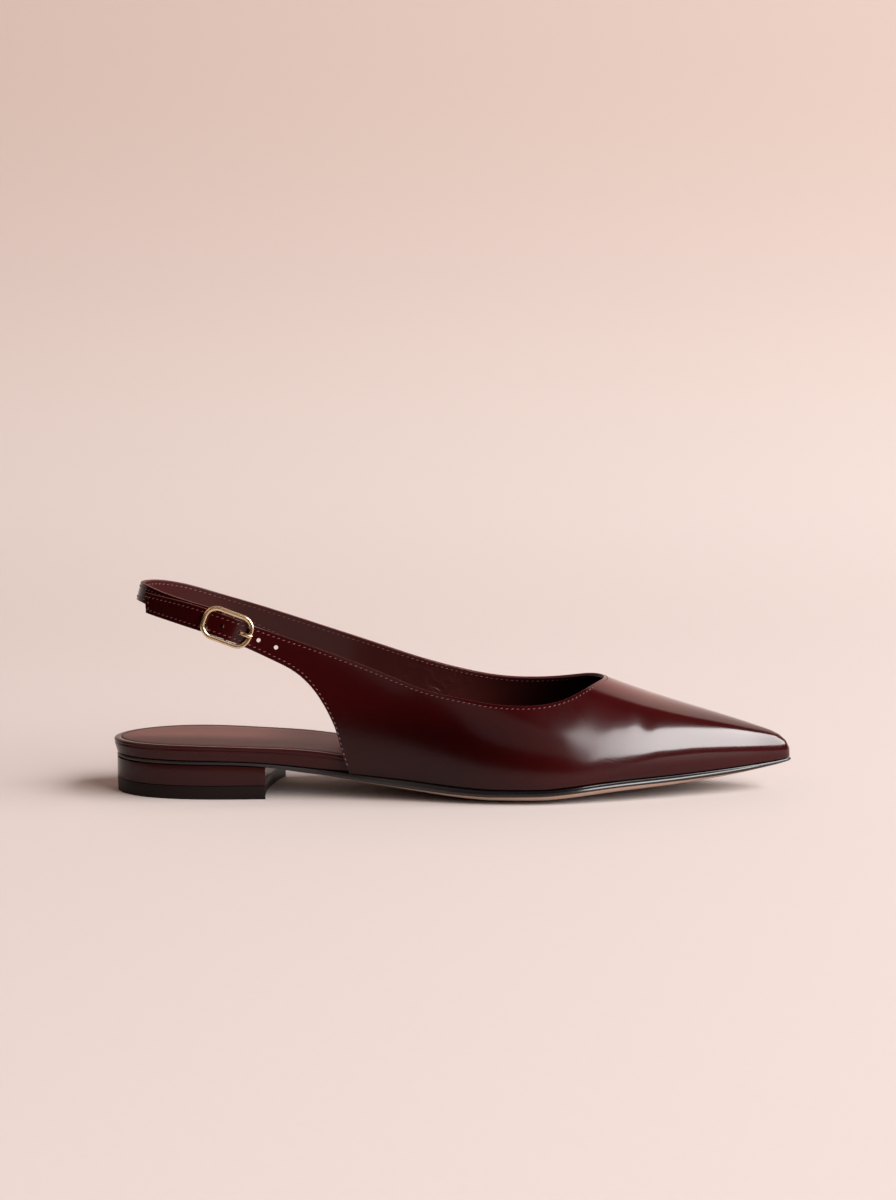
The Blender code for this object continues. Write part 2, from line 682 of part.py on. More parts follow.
def plate(name, finish, angles, profile, outline, bottom, top, seat):
    """Sole-like body. profile lists, from the bottom up, how far its edge is drawn in and the
    share of the way from the bottom to the top; outline gives how far the body reaches past
    the feather line at an angle; seat is the height of the surface inside the edge."""
    rings = []
    for inset, share in profile:
        lines = [offset_outline(outline(a) - inset, [a]) for a in angles]
        rings.append((share, [line[0][0] for line in lines], [line[1][0] for line in lines]))
    points, sections = [], []
    for k in range(len(angles)):
        section = []
        low_l, low_m = rings[0][1][k], rings[0][2][k]
        top_l, top_m = rings[-1][1][k], rings[-1][2][k]
        for lane in range(PLATE_LANES + 1):
            share = lane / PLATE_LANES
            x, y = (low_l[n] + (low_m[n] - low_l[n]) * share for n in (0, 1))
            section.append((x, y, bottom(x, y)))
        for share, lateral, medial in rings[1:-1]:
            x, y = medial[k]
            section.append((x, y, bottom(x, y) + (top(x, y) - bottom(x, y)) * share))
        for lane in range(PLATE_LANES, -1, -1):
            share = lane / PLATE_LANES
            x, y = (top_l[n] + (top_m[n] - top_l[n]) * share for n in (0, 1))
            section.append((x, y, seat(x, y)))
        for share, lateral, medial in reversed(rings[1:-1]):
            x, y = lateral[k]
            section.append((x, y, bottom(x, y) + (top(x, y) - bottom(x, y)) * share))
        sections.append([len(points) + n for n in range(len(section))])
        points += section
    faces = []
    for here, ahead in zip(sections, sections[1:]):
        for n in range(len(here)):
            m = (n + 1) % len(here)
            faces.append((here[n], here[m], ahead[m], ahead[n]))
    if angles[0] > 0:
        faces.append(tuple(reversed(sections[0])))
    if angles[-1] < math.pi:
        faces.append(tuple(sections[-1]))
    return make_object(name, points, faces, finish)


def outsole():
    """Leather sole, as wide as the heel behind the waist and a little proud of the upper."""
    def outline(angle):
        along = unswing(angle) / SHOE_LENGTH
        waist = float(np.clip((along - WAIST_START) / (WAIST_END - WAIST_START), 0, 1))
        ease = waist * waist * (3 - 2 * waist)
        return -WALL_SPACE - HEEL_INSET + ease * (WALL_SPACE + HEEL_INSET + SOLE_PROUD)

    angles = np.linspace(0, math.pi, PLATE_STATIONS + 1)
    return plate("outsole", SOLE_LEATHER, angles, OUTSOLE_EDGE, outline, sole_bottom, sole_top,
                 sole_top)


def covered_insole():
    """Covered insole, in sight behind the quarters and inside the upper before them."""
    def bottom(x, y):
        return sole_top(x, y) + CLEARANCE

    def outline(angle):
        along = unswing(angle) / SHOE_LENGTH
        toe = float(np.clip((along - TOE_START) / (1 - TOE_START), 0, 1))
        return -WALL_SPACE - toe * TOE_EASE

    angles = np.linspace(0, math.pi, PLATE_STATIONS + 1)
    return plate("covered_insole", BURGUNDY, angles, INSOLE_EDGE, outline, bottom, insole_top,
                 sock_seat)


def insole_sock():
    """Sock that lies in the hollow of the insole, and ends before the toe."""
    def bottom(x, y):
        return sock_seat(x, y) + CLEARANCE

    def top(x, y):
        return bottom(x, y) + SOCK_DEPTH

    def outline(angle):
        return -WALL_SPACE - SOCK_INSET

    angles = np.linspace(0, float(swing(SOCK_END * SHOE_LENGTH)), SOCK_STATIONS)
    return plate("insole_sock", SOCK_LEATHER, angles, SOCK_EDGE, outline, bottom, top, top)


def heel_layer(name, finish, low, high, low_inset, high_inset):
    """Layer of the heel between two height functions, with its hollow, skewed breast."""
    ends = [float(swing(front)) for front in (HEEL_LENGTH, HEEL_LENGTH + BREAST_SKEW)]
    levels = []
    for inset in (low_inset, high_inset):
        rows = []
        for k in range(HEEL_STATIONS + 1):
            share = k / HEEL_STATIONS
            lateral = offset_outline(-WALL_SPACE - inset, [ends[0] * share])[0][0]
            medial = offset_outline(-WALL_SPACE - inset, [ends[1] * share])[1][0]
            row = []
            for lane in range(PLATE_LANES + 1):
                across = lane / PLATE_LANES
                x = lateral[0] + (medial[0] - lateral[0]) * across
                y = lateral[1] + (medial[1] - lateral[1]) * across
                hollow = BREAST_HOLLOW * 4 * across * (1 - across) * share ** BREAST_REACH
                row.append((x - hollow, y))
            rows.append(row)
        levels.append(rows)
    points, lower, upper = [], [], []
    for k in range(HEEL_STATIONS + 1):
        lower.append([len(points) + n for n in range(PLATE_LANES + 1)])
        points += [(x, y, low(x, y)) for x, y in levels[0][k]]
        upper.append([len(points) + n for n in range(PLATE_LANES + 1)])
        points += [(x, y, high(x, y)) for x, y in levels[1][k]]
    faces = []
    for k in range(HEEL_STATIONS):
        for n in range(PLATE_LANES):
            faces.append((lower[k][n], lower[k][n + 1], lower[k + 1][n + 1], lower[k + 1][n]))
            faces.append((upper[k][n], upper[k + 1][n], upper[k + 1][n + 1], upper[k][n + 1]))
        for n in (0, PLATE_LANES):
            faces.append((lower[k][n], lower[k + 1][n], upper[k + 1][n], upper[k][n]))
    for n in range(PLATE_LANES):
        faces.append((lower[-1][n], lower[-1][n + 1], upper[-1][n + 1], upper[-1][n]))
    return make_object(name, points, faces, finish, sharp=HEEL_SHARP_EDGE)


def heel():
    """Heel block under the seat, and the top lift it stands on."""
    heel_layer("top_lift", RUBBER, lambda x, y: 0, lambda x, y: TOP_LIFT_DEPTH,
               HEEL_INSET + LIFT_TAPER, HEEL_INSET)
    heel_layer("heel_block", HEEL_FINISH, lambda x, y: TOP_LIFT_DEPTH + CLEARANCE,
               lambda x, y: sole_bottom(x, y) - CLEARANCE, HEEL_INSET, HEEL_INSET)


def upper_grids():
    """Outer and inner face of the upper, from the strap's tip round the toe to the sling."""
    strap, lifts = lateral_strips()
    vamp_lateral = vamp_side(-1, LATERAL_TOP)
    vamp_medial = vamp_side(1, edge_curve(TOPLINE_MEDIAL))[::-1][1:]
    last = np.array(strap + vamp_lateral + vamp_medial + medial_strips() + sling_strips())
    lift = np.zeros(len(last))
    lift[:len(lifts)] = lifts
    outer = last + normals(last) * lift[:, None, None]
    return outer, outer - normals(outer) * UPPER_WALL


def hole_column(k):
    """Column of the upper that runs through a hole, counted from the strap's tip."""
    return TIP_COLUMNS + 1 + 3 * k


def upper(outer, inner):
    """The whole upper as one hollow wall, punched through the strap."""
    holes = [hole_column(k) for k in range(HOLE_COUNT)]
    points, faces = leather_faces(outer, inner, holes)
    return make_object("upper", points, faces, BURGUNDY)


def strap_point(ahead, across, off):
    """Place by the buckle: ahead along the strap, across it upwards and off the wall."""
    way = reach_of(FRAME_ALONG * SHOE_LENGTH)
    way += ahead * math.cos(BUCKLE_TILT) + across * math.sin(BUCKLE_TILT)
    z = FRAME_RISE * INSTEP_HEIGHT
    z += across * math.cos(BUCKLE_TILT) - ahead * math.sin(BUCKLE_TILT)
    return wall_point(-way, z) + wall_normal(-way, z) * off


class BuckleAxes:
    """Flat axes of the buckle: ahead along the strap, across upwards, off the wall."""

    def __init__(self):
        self.middle = strap_point(0, 0, 0)
        off = strap_point(0, 0, MM) - self.middle
        self.off = off / np.linalg.norm(off)
        ahead = strap_point(MM, 0, 0) - strap_point(-MM, 0, 0)
        ahead -= self.off * ahead.dot(self.off)
        self.ahead = ahead / np.linalg.norm(ahead)
        self.across = np.cross(self.off, self.ahead)

    def place(self, ahead, across, off):
        return self.middle + self.ahead * ahead + self.across * across + self.off * off

    def read(self, point):
        way = point - self.middle
        return np.array([way.dot(self.ahead), way.dot(self.across), way.dot(self.off)])


def chape():
    """Leather loop that ties the bar to the end of the sling, slotted for the prong."""
    gap = UPPER_WALL + 2 * CLEARANCE
    fold = gap / 2
    path = [(-CHAPE_LENGTH * (1 - k / CHAPE_STEPS), CLEARANCE, 0) for k in range(CHAPE_STEPS)]
    for k in range(FOLD_STEPS + 1):
        turn = math.pi * k / FOLD_STEPS
        path.append((BAR_AHEAD, BAR_OFF, turn))
    path += [(-CHAPE_LENGTH * k / CHAPE_STEPS, -UPPER_WALL - CLEARANCE, math.pi)
             for k in range(1, CHAPE_STEPS + 1)]
    lanes = (CHAPE_WIDTH / 2, SLOT_WIDTH / 2, -SLOT_WIDTH / 2, -CHAPE_WIDTH / 2)
    outer, inner = [], []
    for ahead, off, turn in path:
        bent = ahead == BAR_AHEAD
        for grid, depth in ((inner, 0), (outer, CHAPE_DEPTH)):
            if bent:
                a = ahead + (fold + depth) * math.sin(turn)
                w = off + (fold + depth) * math.cos(turn)
            else:
                a = ahead
                w = off + depth * math.cos(turn)
            grid.append([strap_point(a, lane, w) for lane in lanes])
    slot = {(k, 1) for k in range(len(path) - 1)
            if min(path[k][0], path[k + 1][0]) > -SLOT_LENGTH}
    points, faces = leather_faces(np.array(outer), np.array(inner), absent=slot)
    return make_object("buckle_chape", points, faces, BURGUNDY)


def tube(path, width, start, sides, closed=False):
    """Points and faces of a round wire along a path; start is a direction beside its start."""
    path = np.asarray(path)
    if closed:
        ahead = np.roll(path, -1, axis=0) - np.roll(path, 1, axis=0)
    else:
        ahead = np.gradient(path, axis=0)
    ahead /= np.linalg.norm(ahead, axis=1, keepdims=True)
    beside = np.asarray(start)
    points = []
    for centre, way in zip(path, ahead):
        beside = beside - way * beside.dot(way)
        beside = beside / np.linalg.norm(beside)
        third = np.cross(way, beside)
        for k in range(sides):
            angle = math.tau * k / sides
            out = beside * math.cos(angle) + third * math.sin(angle)
            points.append(tuple(centre + out * width / 2))
    count = len(path)
    faces = []
    for j in range(count if closed else count - 1):
        for k in range(sides):
            here, ahead_of = j * sides, (j + 1) % count * sides
            m = (k + 1) % sides
            faces.append((here + k, here + m, ahead_of + m, ahead_of + k))
    if not closed:
        faces.append(tuple(range(sides)))
        faces.append(tuple((count - 1) * sides + k for k in reversed(range(sides))))
    return points, faces


def frame_plane(axes):
    """Height of the frame's middle line off the wall at its back end and at its front end."""
    heights = []
    for ahead in (-1, 1):
        turn = ahead * (FRAME_LENGTH - FRAME_CORNER) / 2
        lift = float(LIFT(axes_along(turn) + TOP_ABOVE_HOLE))
        heights.append(axes.read(strap_point(turn, 0, lift))[2] + CLEARANCE + WIRE_WIDTH / 2)
    return heights


def axes_along(ahead):
    """Distance from the heel of a place ahead along the strap."""
    return float(strap_point(ahead, 0, 0)[0])


def frame_off(heights, ahead):
    share = 0.5 + ahead / (FRAME_LENGTH - WIRE_WIDTH)
    return heights[0] + (heights[1] - heights[0]) * share


# How the bar drops from the frame under the strap: height across the frame, in widths of the
# bar inside its rail, and depth as shares of the rail's height over the wall and of the bar's
Bend = namedtuple("Bend", "inside rail bar")
BAR_BENDS = (
    Bend(0, 1, 0), Bend(0.05, 0.5, 0), Bend(0.15, 0, 0.3), Bend(0.45, 0, 0.85),
    Bend(0.9, 0, 1),
)


def buckle_frame(axes, heights):
    """Rounded ring that lies over the strap, joined to the bar that passes under it."""
    half_length = (FRAME_LENGTH - WIRE_WIDTH) / 2
    half_height = (FRAME_HEIGHT - WIRE_WIDTH) / 2
    corner = FRAME_CORNER - WIRE_WIDTH / 2
    path = []
    for quarter, (ahead, across) in enumerate(((1, 1), (-1, 1), (-1, -1), (1, -1))):
        for k in range(CORNER_STEPS + 1):
            angle = math.pi / 2 * (quarter + k / CORNER_STEPS)
            a = ahead * (half_length - corner) + corner * math.cos(angle)
            c = across * (half_height - corner) + corner * math.sin(angle)
            path.append(axes.place(a, c, frame_off(heights, a)))
    points, faces = tube(path, WIRE_WIDTH, axes.off, FRAME_SIDES, closed=True)
    frame = make_object("buckle_frame", points, faces, GOLD)
    rail = frame_off(heights, BAR_AHEAD)
    half = [(half_height - bend.inside * BAR_WIDTH, bend.rail * rail + bend.bar * BAR_OFF)
            for bend in BAR_BENDS]
    line = half + [(-c, w) for c, w in reversed(half)]
    path = [axes.place(BAR_AHEAD, c, w) for c, w in line]
    points, faces = tube(path, BAR_WIDTH, axes.ahead, BAR_SIDES)
    bar = make_object("buckle_bar", points, faces, GOLD)
    bar.hide_render = True
    bar.display_type = "WIRE"
    join = frame.modifiers.new("bar", "BOOLEAN")
    join.operation = "UNION"
    join.solver = "EXACT"
    join.object = bar
    return frame


# The prong's eye round the bar, in degrees from ahead of it
EYE_START = 40
EYE_TURN = 230
# Path of the prong past its eye: where it runs on from, how far ahead in its own widths, and
# how high, in loops of the eye off the bar or in its own widths off its place
PRONG_AHEAD = 1.6
PRONG_DROP = 0.75
PRONG_CLEAR = 0.8
PRONG_LEAN = 1.1
PRONG_SAG = 0.15
TIP_AHEAD = 0.9
TIP_SAG = 0.2


def prong(axes, heights, outer, inner):
    """Pin that turns on the bar, comes up through its hole and rests on the frame."""
    column, row = hole_column(1), ROWS // 2
    over, under = axes.read(outer[column, row]), axes.read(inner[column, row])
    loop = (BAR_WIDTH + PRONG_WIDTH) / 2 + PRONG_PLAY
    path = []
    for k in range(EYE_STEPS + 1):
        turn = math.radians(EYE_START + EYE_TURN * k / EYE_STEPS)
        path.append((BAR_AHEAD + loop * math.cos(turn), 0, BAR_OFF + loop * math.sin(turn)))
    end = (FRAME_LENGTH - WIRE_WIDTH) / 2
    top = heights[1] + (WIRE_WIDTH + PRONG_WIDTH) / 2 + PRONG_PLAY
    way = (over - under) / np.linalg.norm(over - under)
    middle = (over[1] + under[1]) / 2
    low = under - way * PRONG_WIDTH
    high = over + way * PRONG_WIDTH * PRONG_CLEAR
    path += [(low[0] - PRONG_WIDTH * PRONG_AHEAD, middle, BAR_OFF - loop * PRONG_DROP),
             tuple(low), tuple(high),
             (high[0] + PRONG_WIDTH * PRONG_LEAN, high[1], top - PRONG_WIDTH * PRONG_SAG),
             (end, high[1], top),
             (end + PRONG_WIDTH * TIP_AHEAD, high[1], top - PRONG_WIDTH * TIP_SAG)]
    run = np.concatenate([[0], np.cumsum(np.linalg.norm(np.diff(path, axis=0), axis=1))])
    curves = [Smooth(run, [p[k] for p in path]) for k in range(3)]
    fine = [axes.place(*(float(curve(at)) for curve in curves))
            for at in np.linspace(0, run[-1], PRONG_STATIONS)]
    points, faces = tube(fine, PRONG_WIDTH, axes.across, PRONG_SIDES)
    return make_object("buckle_prong", points, faces, GOLD)


def clear_scene():
    for thing in list(bpy.data.objects):
        bpy.data.objects.remove(thing, do_unlink=True)


def build():
    clear_scene()
    outer, inner = upper_grids()
    upper(outer, inner)
    outsole()
    covered_insole()
    insole_sock()
    heel()
    chape()
    axes = BuckleAxes()
    heights = frame_plane(axes)
    buckle_frame(axes, heights)
    prong(axes, heights, outer, inner)


build()
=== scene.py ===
"""Looks of a burgundy sling back flat, a right shoe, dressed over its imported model.

+X points to the toe, -Y to the outer side with the buckle, +Z up, and the floor is at Z = 0.
Distances called along run from the back of the heel seat to the toe.
"""

import math
from collections import namedtuple

import bpy
import numpy as np
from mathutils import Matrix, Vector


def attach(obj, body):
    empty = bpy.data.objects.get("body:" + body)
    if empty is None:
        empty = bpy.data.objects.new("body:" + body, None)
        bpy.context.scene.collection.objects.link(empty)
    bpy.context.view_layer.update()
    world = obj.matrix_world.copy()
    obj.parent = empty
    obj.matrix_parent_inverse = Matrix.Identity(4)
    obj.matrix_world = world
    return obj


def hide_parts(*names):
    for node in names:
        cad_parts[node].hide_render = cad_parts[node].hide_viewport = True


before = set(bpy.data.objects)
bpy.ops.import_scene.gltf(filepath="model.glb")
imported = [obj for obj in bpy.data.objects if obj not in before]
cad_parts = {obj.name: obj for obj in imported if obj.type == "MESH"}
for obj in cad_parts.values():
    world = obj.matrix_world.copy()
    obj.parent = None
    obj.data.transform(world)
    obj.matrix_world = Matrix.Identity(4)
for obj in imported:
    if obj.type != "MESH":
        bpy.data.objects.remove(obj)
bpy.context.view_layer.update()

MM = 0.001


def table_of(kind, *rows):
    """Rows of numbers as rows with named columns."""
    return [kind(*row) for row in rows]


# Driving sizes of the shoe
SHOE_LENGTH = 268 * MM
BALL_WIDTH = 76 * MM
INSTEP_HEIGHT = 44.3 * MM
SEAT_HEIGHT = 13.5 * MM
TOE_SPRING = 11.2 * MM
STRAP_HEIGHT = 82 * MM
CLEARANCE = 0.3 * MM

# Leathers
UPPER_WALL = 1.5 * MM
SOLE_EDGE = 3.7 * MM
SOLE_PROUD = 0.6 * MM
SOLE_CROWN = 1.8 * MM
INSOLE_DEPTH = 6.3 * MM
SOCK_DEPTH = 0.9 * MM
SOCK_INSET = 3.1 * MM
SEAT_SHARE = 0.6
TOE_EASE = 0.6 * MM
CHAPE_DEPTH = 0.7 * MM
# Share of the half width at which the tread's crown starts, and how much of the crown the top
# of the sole keeps in the middle
CROWN_START = 0.45
CROWN_INSIDE = 0.45
# Shares of SHOE_LENGTH: the sole widens over the waist, and the insole eases from the toe on
WAIST_START = 0.30
WAIST_SPAN = 0.10
TOE_START = 0.85

# Heel
TOP_LIFT_DEPTH = 5.2 * MM
HEEL_LENGTH = 61.5 * MM
BREAST_SKEW = 4.8 * MM
BREAST_HOLLOW = 2.6 * MM
HEEL_INSET = 1.1 * MM
LIFT_TAPER = 0.2 * MM
LIFT_ROUND = 0.45 * MM
BLOCK_ROUND = 0.22 * MM

# Strap, sling and buckle
STRAP_WIDTH = 8.8 * MM
HOLE_PITCH = 7.4 * MM
HOLE_WIDTH = 1.65 * MM
HOLE_COUNT = 4
FRAME_LENGTH = 20.2 * MM
FRAME_HEIGHT = 13.1 * MM
FRAME_CORNER = 5.4 * MM
WIRE_WIDTH = 1.7 * MM
BAR_WIDTH = 1.2 * MM
PRONG_WIDTH = 1.0 * MM
BUCKLE_TILT = math.radians(20.5)

# The last runs a little past the insole, as far as the wall of the upper and its clearance
WALL_SPACE = UPPER_WALL + CLEARANCE
LAST_BACK = -WALL_SPACE
LAST_FRONT = SHOE_LENGTH - SOLE_PROUD
LAST_LENGTH = LAST_FRONT - LAST_BACK

# Outside of the upper, a row for each section. along is a share of SHOE_LENGTH, lateral,
# medial, bulge and shift are shares of BALL_WIDTH, widest and ridge of INSTEP_HEIGHT.
# lateral and medial are the half widths at the feather line, bulge is how far the wall swells
# past them, widest the height of that swell and ridge the height of the section's top. Behind
# the throat the ridge is the top of the leg, which no leather reaches.
Section = namedtuple("Section", "along lateral medial bulge widest ridge shift")
LAST = table_of(
    Section,
    (-0.0067, 0.000, 0.000, 0.000, 0.56, 3.40, 0.000),
    (0.045, 0.290, 0.290, 0.010, 0.56, 3.40, 0.000),
    (0.134, 0.376, 0.376, 0.018, 0.54, 3.30, 0.000),
    (0.230, 0.368, 0.362, 0.018, 0.44, 2.90, 0.010),
    (0.350, 0.362, 0.352, 0.010, 0.265, 2.20, 0.025),
    (0.410, 0.380, 0.368, 0.008, 0.245, 1.95, 0.035),
    (0.478, 0.426, 0.408, 0.008, 0.200, 1.72, 0.045),
    (0.540, 0.469, 0.453, 0.008, 0.165, 1.50, 0.050),
    (0.597, 0.486, 0.480, 0.008, 0.155, 1.34, 0.050),
    (0.664, 0.466, 0.478, 0.010, 0.175, 1.15, 0.045),
    (0.723, 0.414, 0.442, 0.014, 0.245, 1.00, 0.040),
    (0.798, 0.326, 0.352, 0.016, 0.325, 0.842, 0.030),
    (0.858, 0.246, 0.268, 0.012, 0.355, 0.732, 0.020),
    (0.912, 0.170, 0.186, 0.008, 0.350, 0.635, 0.010),
    (0.950, 0.112, 0.123, 0.004, 0.345, 0.560, 0.005),
    (0.980, 0.063, 0.069, 0.001, 0.340, 0.490, 0.000),
    (0.9977, 0.000, 0.000, 0.000, 0.340, 0.340, 0.000),
)
SECTION_FULLNESS = 2.1

# Outsole and insole, a row for each section. seat is a share of SEAT_HEIGHT, spring of
# TOE_SPRING, crown of SOLE_CROWN, edge of SOLE_EDGE and pad of INSOLE_DEPTH.
Sole = namedtuple("Sole", "along seat spring crown edge pad")
SOLE = table_of(
    Sole,
    (0.000, 1.000, 0.000, 0.00, 0.35, 0.93),
    (0.134, 1.000, 0.000, 0.00, 0.35, 0.93),
    (0.230, 0.911, 0.000, 0.02, 0.38, 0.95),
    (0.272, 0.780, 0.000, 0.12, 0.50, 1.04),
    (0.336, 0.585, 0.000, 0.28, 0.62, 1.02),
    (0.396, 0.385, 0.000, 0.55, 0.78, 0.80),
    (0.448, 0.215, 0.000, 0.80, 0.92, 0.62),
    (0.500, 0.075, 0.000, 0.95, 0.99, 0.52),
    (0.550, 0.000, 0.000, 1.00, 1.00, 0.46),
    (0.630, 0.000, 0.000, 1.00, 1.00, 0.42),
    (0.664, 0.000, 0.045, 1.05, 1.02, 0.40),
    (0.709, 0.000, 0.143, 1.08, 1.03, 0.38),
    (0.769, 0.000, 0.286, 0.82, 1.00, 0.36),
    (0.821, 0.000, 0.410, 0.50, 0.94, 0.34),
    (0.858, 0.000, 0.510, 0.33, 0.86, 0.32),
    (0.918, 0.000, 0.690, 0.17, 0.65, 0.30),
    (1.000, 0.000, 1.000, 0.05, 0.27, 0.24),
)

# Topline of each side: height as a share of INSTEP_HEIGHT over along as a share of SHOE_LENGTH
Edge = namedtuple("Edge", "along height")
STRAP_TIP = 0.0605
THROAT = 0.7227
TOPLINE_LATERAL = table_of(
    Edge,
    (0.0605, 1.788), (0.135, 1.709), (0.219, 1.526), (0.284, 1.382), (0.357, 1.216),
    (0.407, 1.097), (0.456, 0.985), (0.505, 0.917), (0.554, 0.866), (0.594, 0.847),
    (0.626, 0.850), (0.664, 0.892), (0.690, 0.949), (0.710, 0.989), (0.7227, 1.000),
)
TOPLINE_MEDIAL = table_of(
    Edge,
    (0.191, 1.608), (0.269, 1.466), (0.329, 1.351), (0.390, 1.229), (0.453, 1.097),
    (0.511, 0.995), (0.571, 0.922), (0.626, 0.910), (0.664, 0.933), (0.690, 0.965),
    (0.710, 0.992), (0.7227, 1.000),
)
# Sling round the heel, and the end of the last there
SLING_BACK = 0.042
SLING_TURN = 0.157
SLING_LEAN = 0.26
SLING_TOP = table_of(
    Edge,
    (0.85, 1.660), (0.60, 1.774), (0.30, 1.845), (0.00, 1.857), (-0.25, 1.850), (-0.45, 1.808),
    (-0.70, 1.732), (-0.90, 1.659),
)
SLING_END = -0.885
# Width of the sling as a share of STRAP_WIDTH
SLING_WIDTH = table_of(
    Edge,
    (1.00, 1.00), (0.60, 0.98), (0.30, 0.90), (0.00, 0.80), (-0.45, 0.80), (-1.00, 0.80),
)

# Lower edge of strap and quarter, down to the feather line at the front of the gap
LOW_LATERAL = table_of(
    Edge,
    (0.0675, 1.612), (0.100, 1.562), (0.140, 1.494), (0.176, 1.419), (0.212, 1.323),
    (0.246, 1.223), (0.275, 1.122), (0.297, 0.994), (0.313, 0.854), (0.325, 0.714),
    (0.3335, 0.578), (0.3405, 0.415), (0.3505, 0.235),
)
LOW_MEDIAL = table_of(
    Edge,
    (0.186, 1.415), (0.212, 1.345), (0.246, 1.245), (0.275, 1.135), (0.297, 1.012),
    (0.313, 0.875), (0.325, 0.735), (0.334, 0.592), (0.342, 0.431), (0.3505, 0.235),
)

# How the topline and the lower edge are paired across the leather, as shares of SHOE_LENGTH
Pair = namedtuple("Pair", "top low")
STRAP_PAIRS = table_of(
    Pair,
    (0.0605, 0.0675), (0.093, 0.092), (0.149, 0.141), (0.187, 0.177), (0.224, 0.212),
    (0.254, 0.243), (0.284, 0.274), (0.313, 0.303), (0.336, 0.328), (0.357, 0.3505),
)
VAMP_PAIRS = table_of(
    Pair,
    (0.357, 0.3505), (0.410, 0.408), (0.485, 0.489), (0.560, 0.572), (0.627, 0.672),
    (0.672, 0.769), (0.701, 0.866), (0.7175, 0.944), (0.7227, 0.9977),
)

# Lift of the punched strap off the last, as a share of the stack at the buckle
Lift = namedtuple("Lift", "along share")
STRAP_LIFT = table_of(
    Lift,
    (0.0605, 0.66), (0.100, 0.68), (0.122, 0.86), (0.140, 1.00), (0.160, 1.03), (0.184, 1.06),
    (0.192, 0.94), (0.202, 0.60), (0.213, 0.30), (0.226, 0.12), (0.246, 0.02), (0.266, 0.00),
)
STACK_LIFT = UPPER_WALL + CHAPE_DEPTH + 2 * CLEARANCE

# Mesh counts
ROWS = 24
WALL_STEPS = 4 * ROWS
ARC_STEPS = 6 * ROWS
VAMP_COLUMNS = 64
QUARTER_COLUMNS = 40
STRAP_COLUMNS = 110
SLING_COLUMNS = 110
PLATE_STATIONS = 120
PLATE_LANES = 12
# Share of the vamp's columns that lie on the side wall
SIDE_COLUMNS = 3 / 8

# Steps for slopes, and what counts as nothing
WALL_PROBE = 0.2 * MM
SLOPE_PROBE = 0.5 * MM
ANGLE_PROBE = 0.004
TINY = 1e-7
MERGE = 0.002 * MM


class Smooth:
    """Natural cubic spline through the points of a table."""

    def __init__(self, places, values):
        order = np.argsort(places)
        self.x = np.asarray(places, float)[order]
        self.y = np.asarray(values, float)[order]
        count = len(self.x)
        step = np.diff(self.x)
        system = np.eye(count)
        right = np.zeros(count)
        for i in range(1, count - 1):
            system[i, i - 1:i + 2] = step[i - 1], 2 * (step[i - 1] + step[i]), step[i]
            right[i] = 6 * ((self.y[i + 1] - self.y[i]) / step[i]
                            - (self.y[i] - self.y[i - 1]) / step[i - 1])
        self.bend = np.linalg.solve(system, right)

    def __call__(self, place):
        place = np.clip(place, self.x[0], self.x[-1])
        i = np.clip(np.searchsorted(self.x, place) - 1, 0, len(self.x) - 2)
        step = self.x[i + 1] - self.x[i]
        a = (self.x[i + 1] - place) / step
        b = 1 - a
        return (a * self.y[i] + b * self.y[i + 1]
                + ((a ** 3 - a) * self.bend[i] + (b ** 3 - b) * self.bend[i + 1]) * step ** 2 / 6)


def swing(x):
    """Angle from 0 at the back to pi at the tip, which spreads both rounded ends."""
    return np.arccos(np.clip(1 - 2 * (np.asarray(x, float) - LAST_BACK) / LAST_LENGTH, -1, 1))


def unswing(angle):
    return LAST_BACK + LAST_LENGTH * (1 - np.cos(angle)) / 2


def column(rows, name, size=1, length=SHOE_LENGTH):
    """Spline of one column of a table over the distance along."""
    return Smooth([row.along * length for row in rows], [getattr(row, name) * size for row in rows])


def last_column(name, size):
    table = Smooth([swing(row.along * SHOE_LENGTH) for row in LAST],
                   [getattr(row, name) * size for row in LAST])
    return lambda x: table(swing(x))


LATERAL, MEDIAL, BULGE, SHIFT = (last_column(name, BALL_WIDTH)
                                 for name in ("lateral", "medial", "bulge", "shift"))
WIDEST, RIDGE = (last_column(name, INSTEP_HEIGHT) for name in ("widest", "ridge"))
SEAT = column(SOLE, "seat", SEAT_HEIGHT)
SPRING = column(SOLE, "spring", TOE_SPRING)
CROWN = column(SOLE, "crown", SOLE_CROWN)
EDGE = column(SOLE, "edge", SOLE_EDGE)
PAD = column(SOLE, "pad", INSOLE_DEPTH)


def eased(share):
    """A share with a level start and end, held at 0 and 1 beyond them."""
    share = min(max(float(share), 0.0), 1.0)
    return share * share * (3 - 2 * share)


def feather(x, side):
    """Half width of the upper where it meets the sole; side is -1 lateral, 1 medial."""
    return LATERAL(x) if side < 0 else MEDIAL(x)


def crown_share(x, y):
    """0 in the middle of the tread, 1 at its edge."""
    reach = np.clip(np.abs(y) / max(feather(x, np.sign(y)), MM), 0, 1)
    return eased((reach - CROWN_START) / (1 - CROWN_START))


def tread(x):
    return max(0.0, float(SEAT(x) + SPRING(x)))


def sole_bottom(x, y):
    return tread(x) + CROWN(x) * crown_share(x, y)


def sole_top(x, y):
    crown = CROWN_INSIDE + (1 - CROWN_INSIDE) * crown_share(x, y)
    return tread(x) + CROWN(x) * crown + EDGE(x)


def feather_height(x):
    return tread(x) + CROWN(x) + EDGE(x) + CLEARANCE


def insole_top(x, y):
    return sole_top(x, y) + CLEARANCE + PAD(x)


def sock_seat(x, y):
    """Surface the sock lies on, sunk into the insole so that the two end up level."""
    return insole_top(x, y) - min(SOCK_DEPTH + CLEARANCE, SEAT_SHARE * PAD(x))


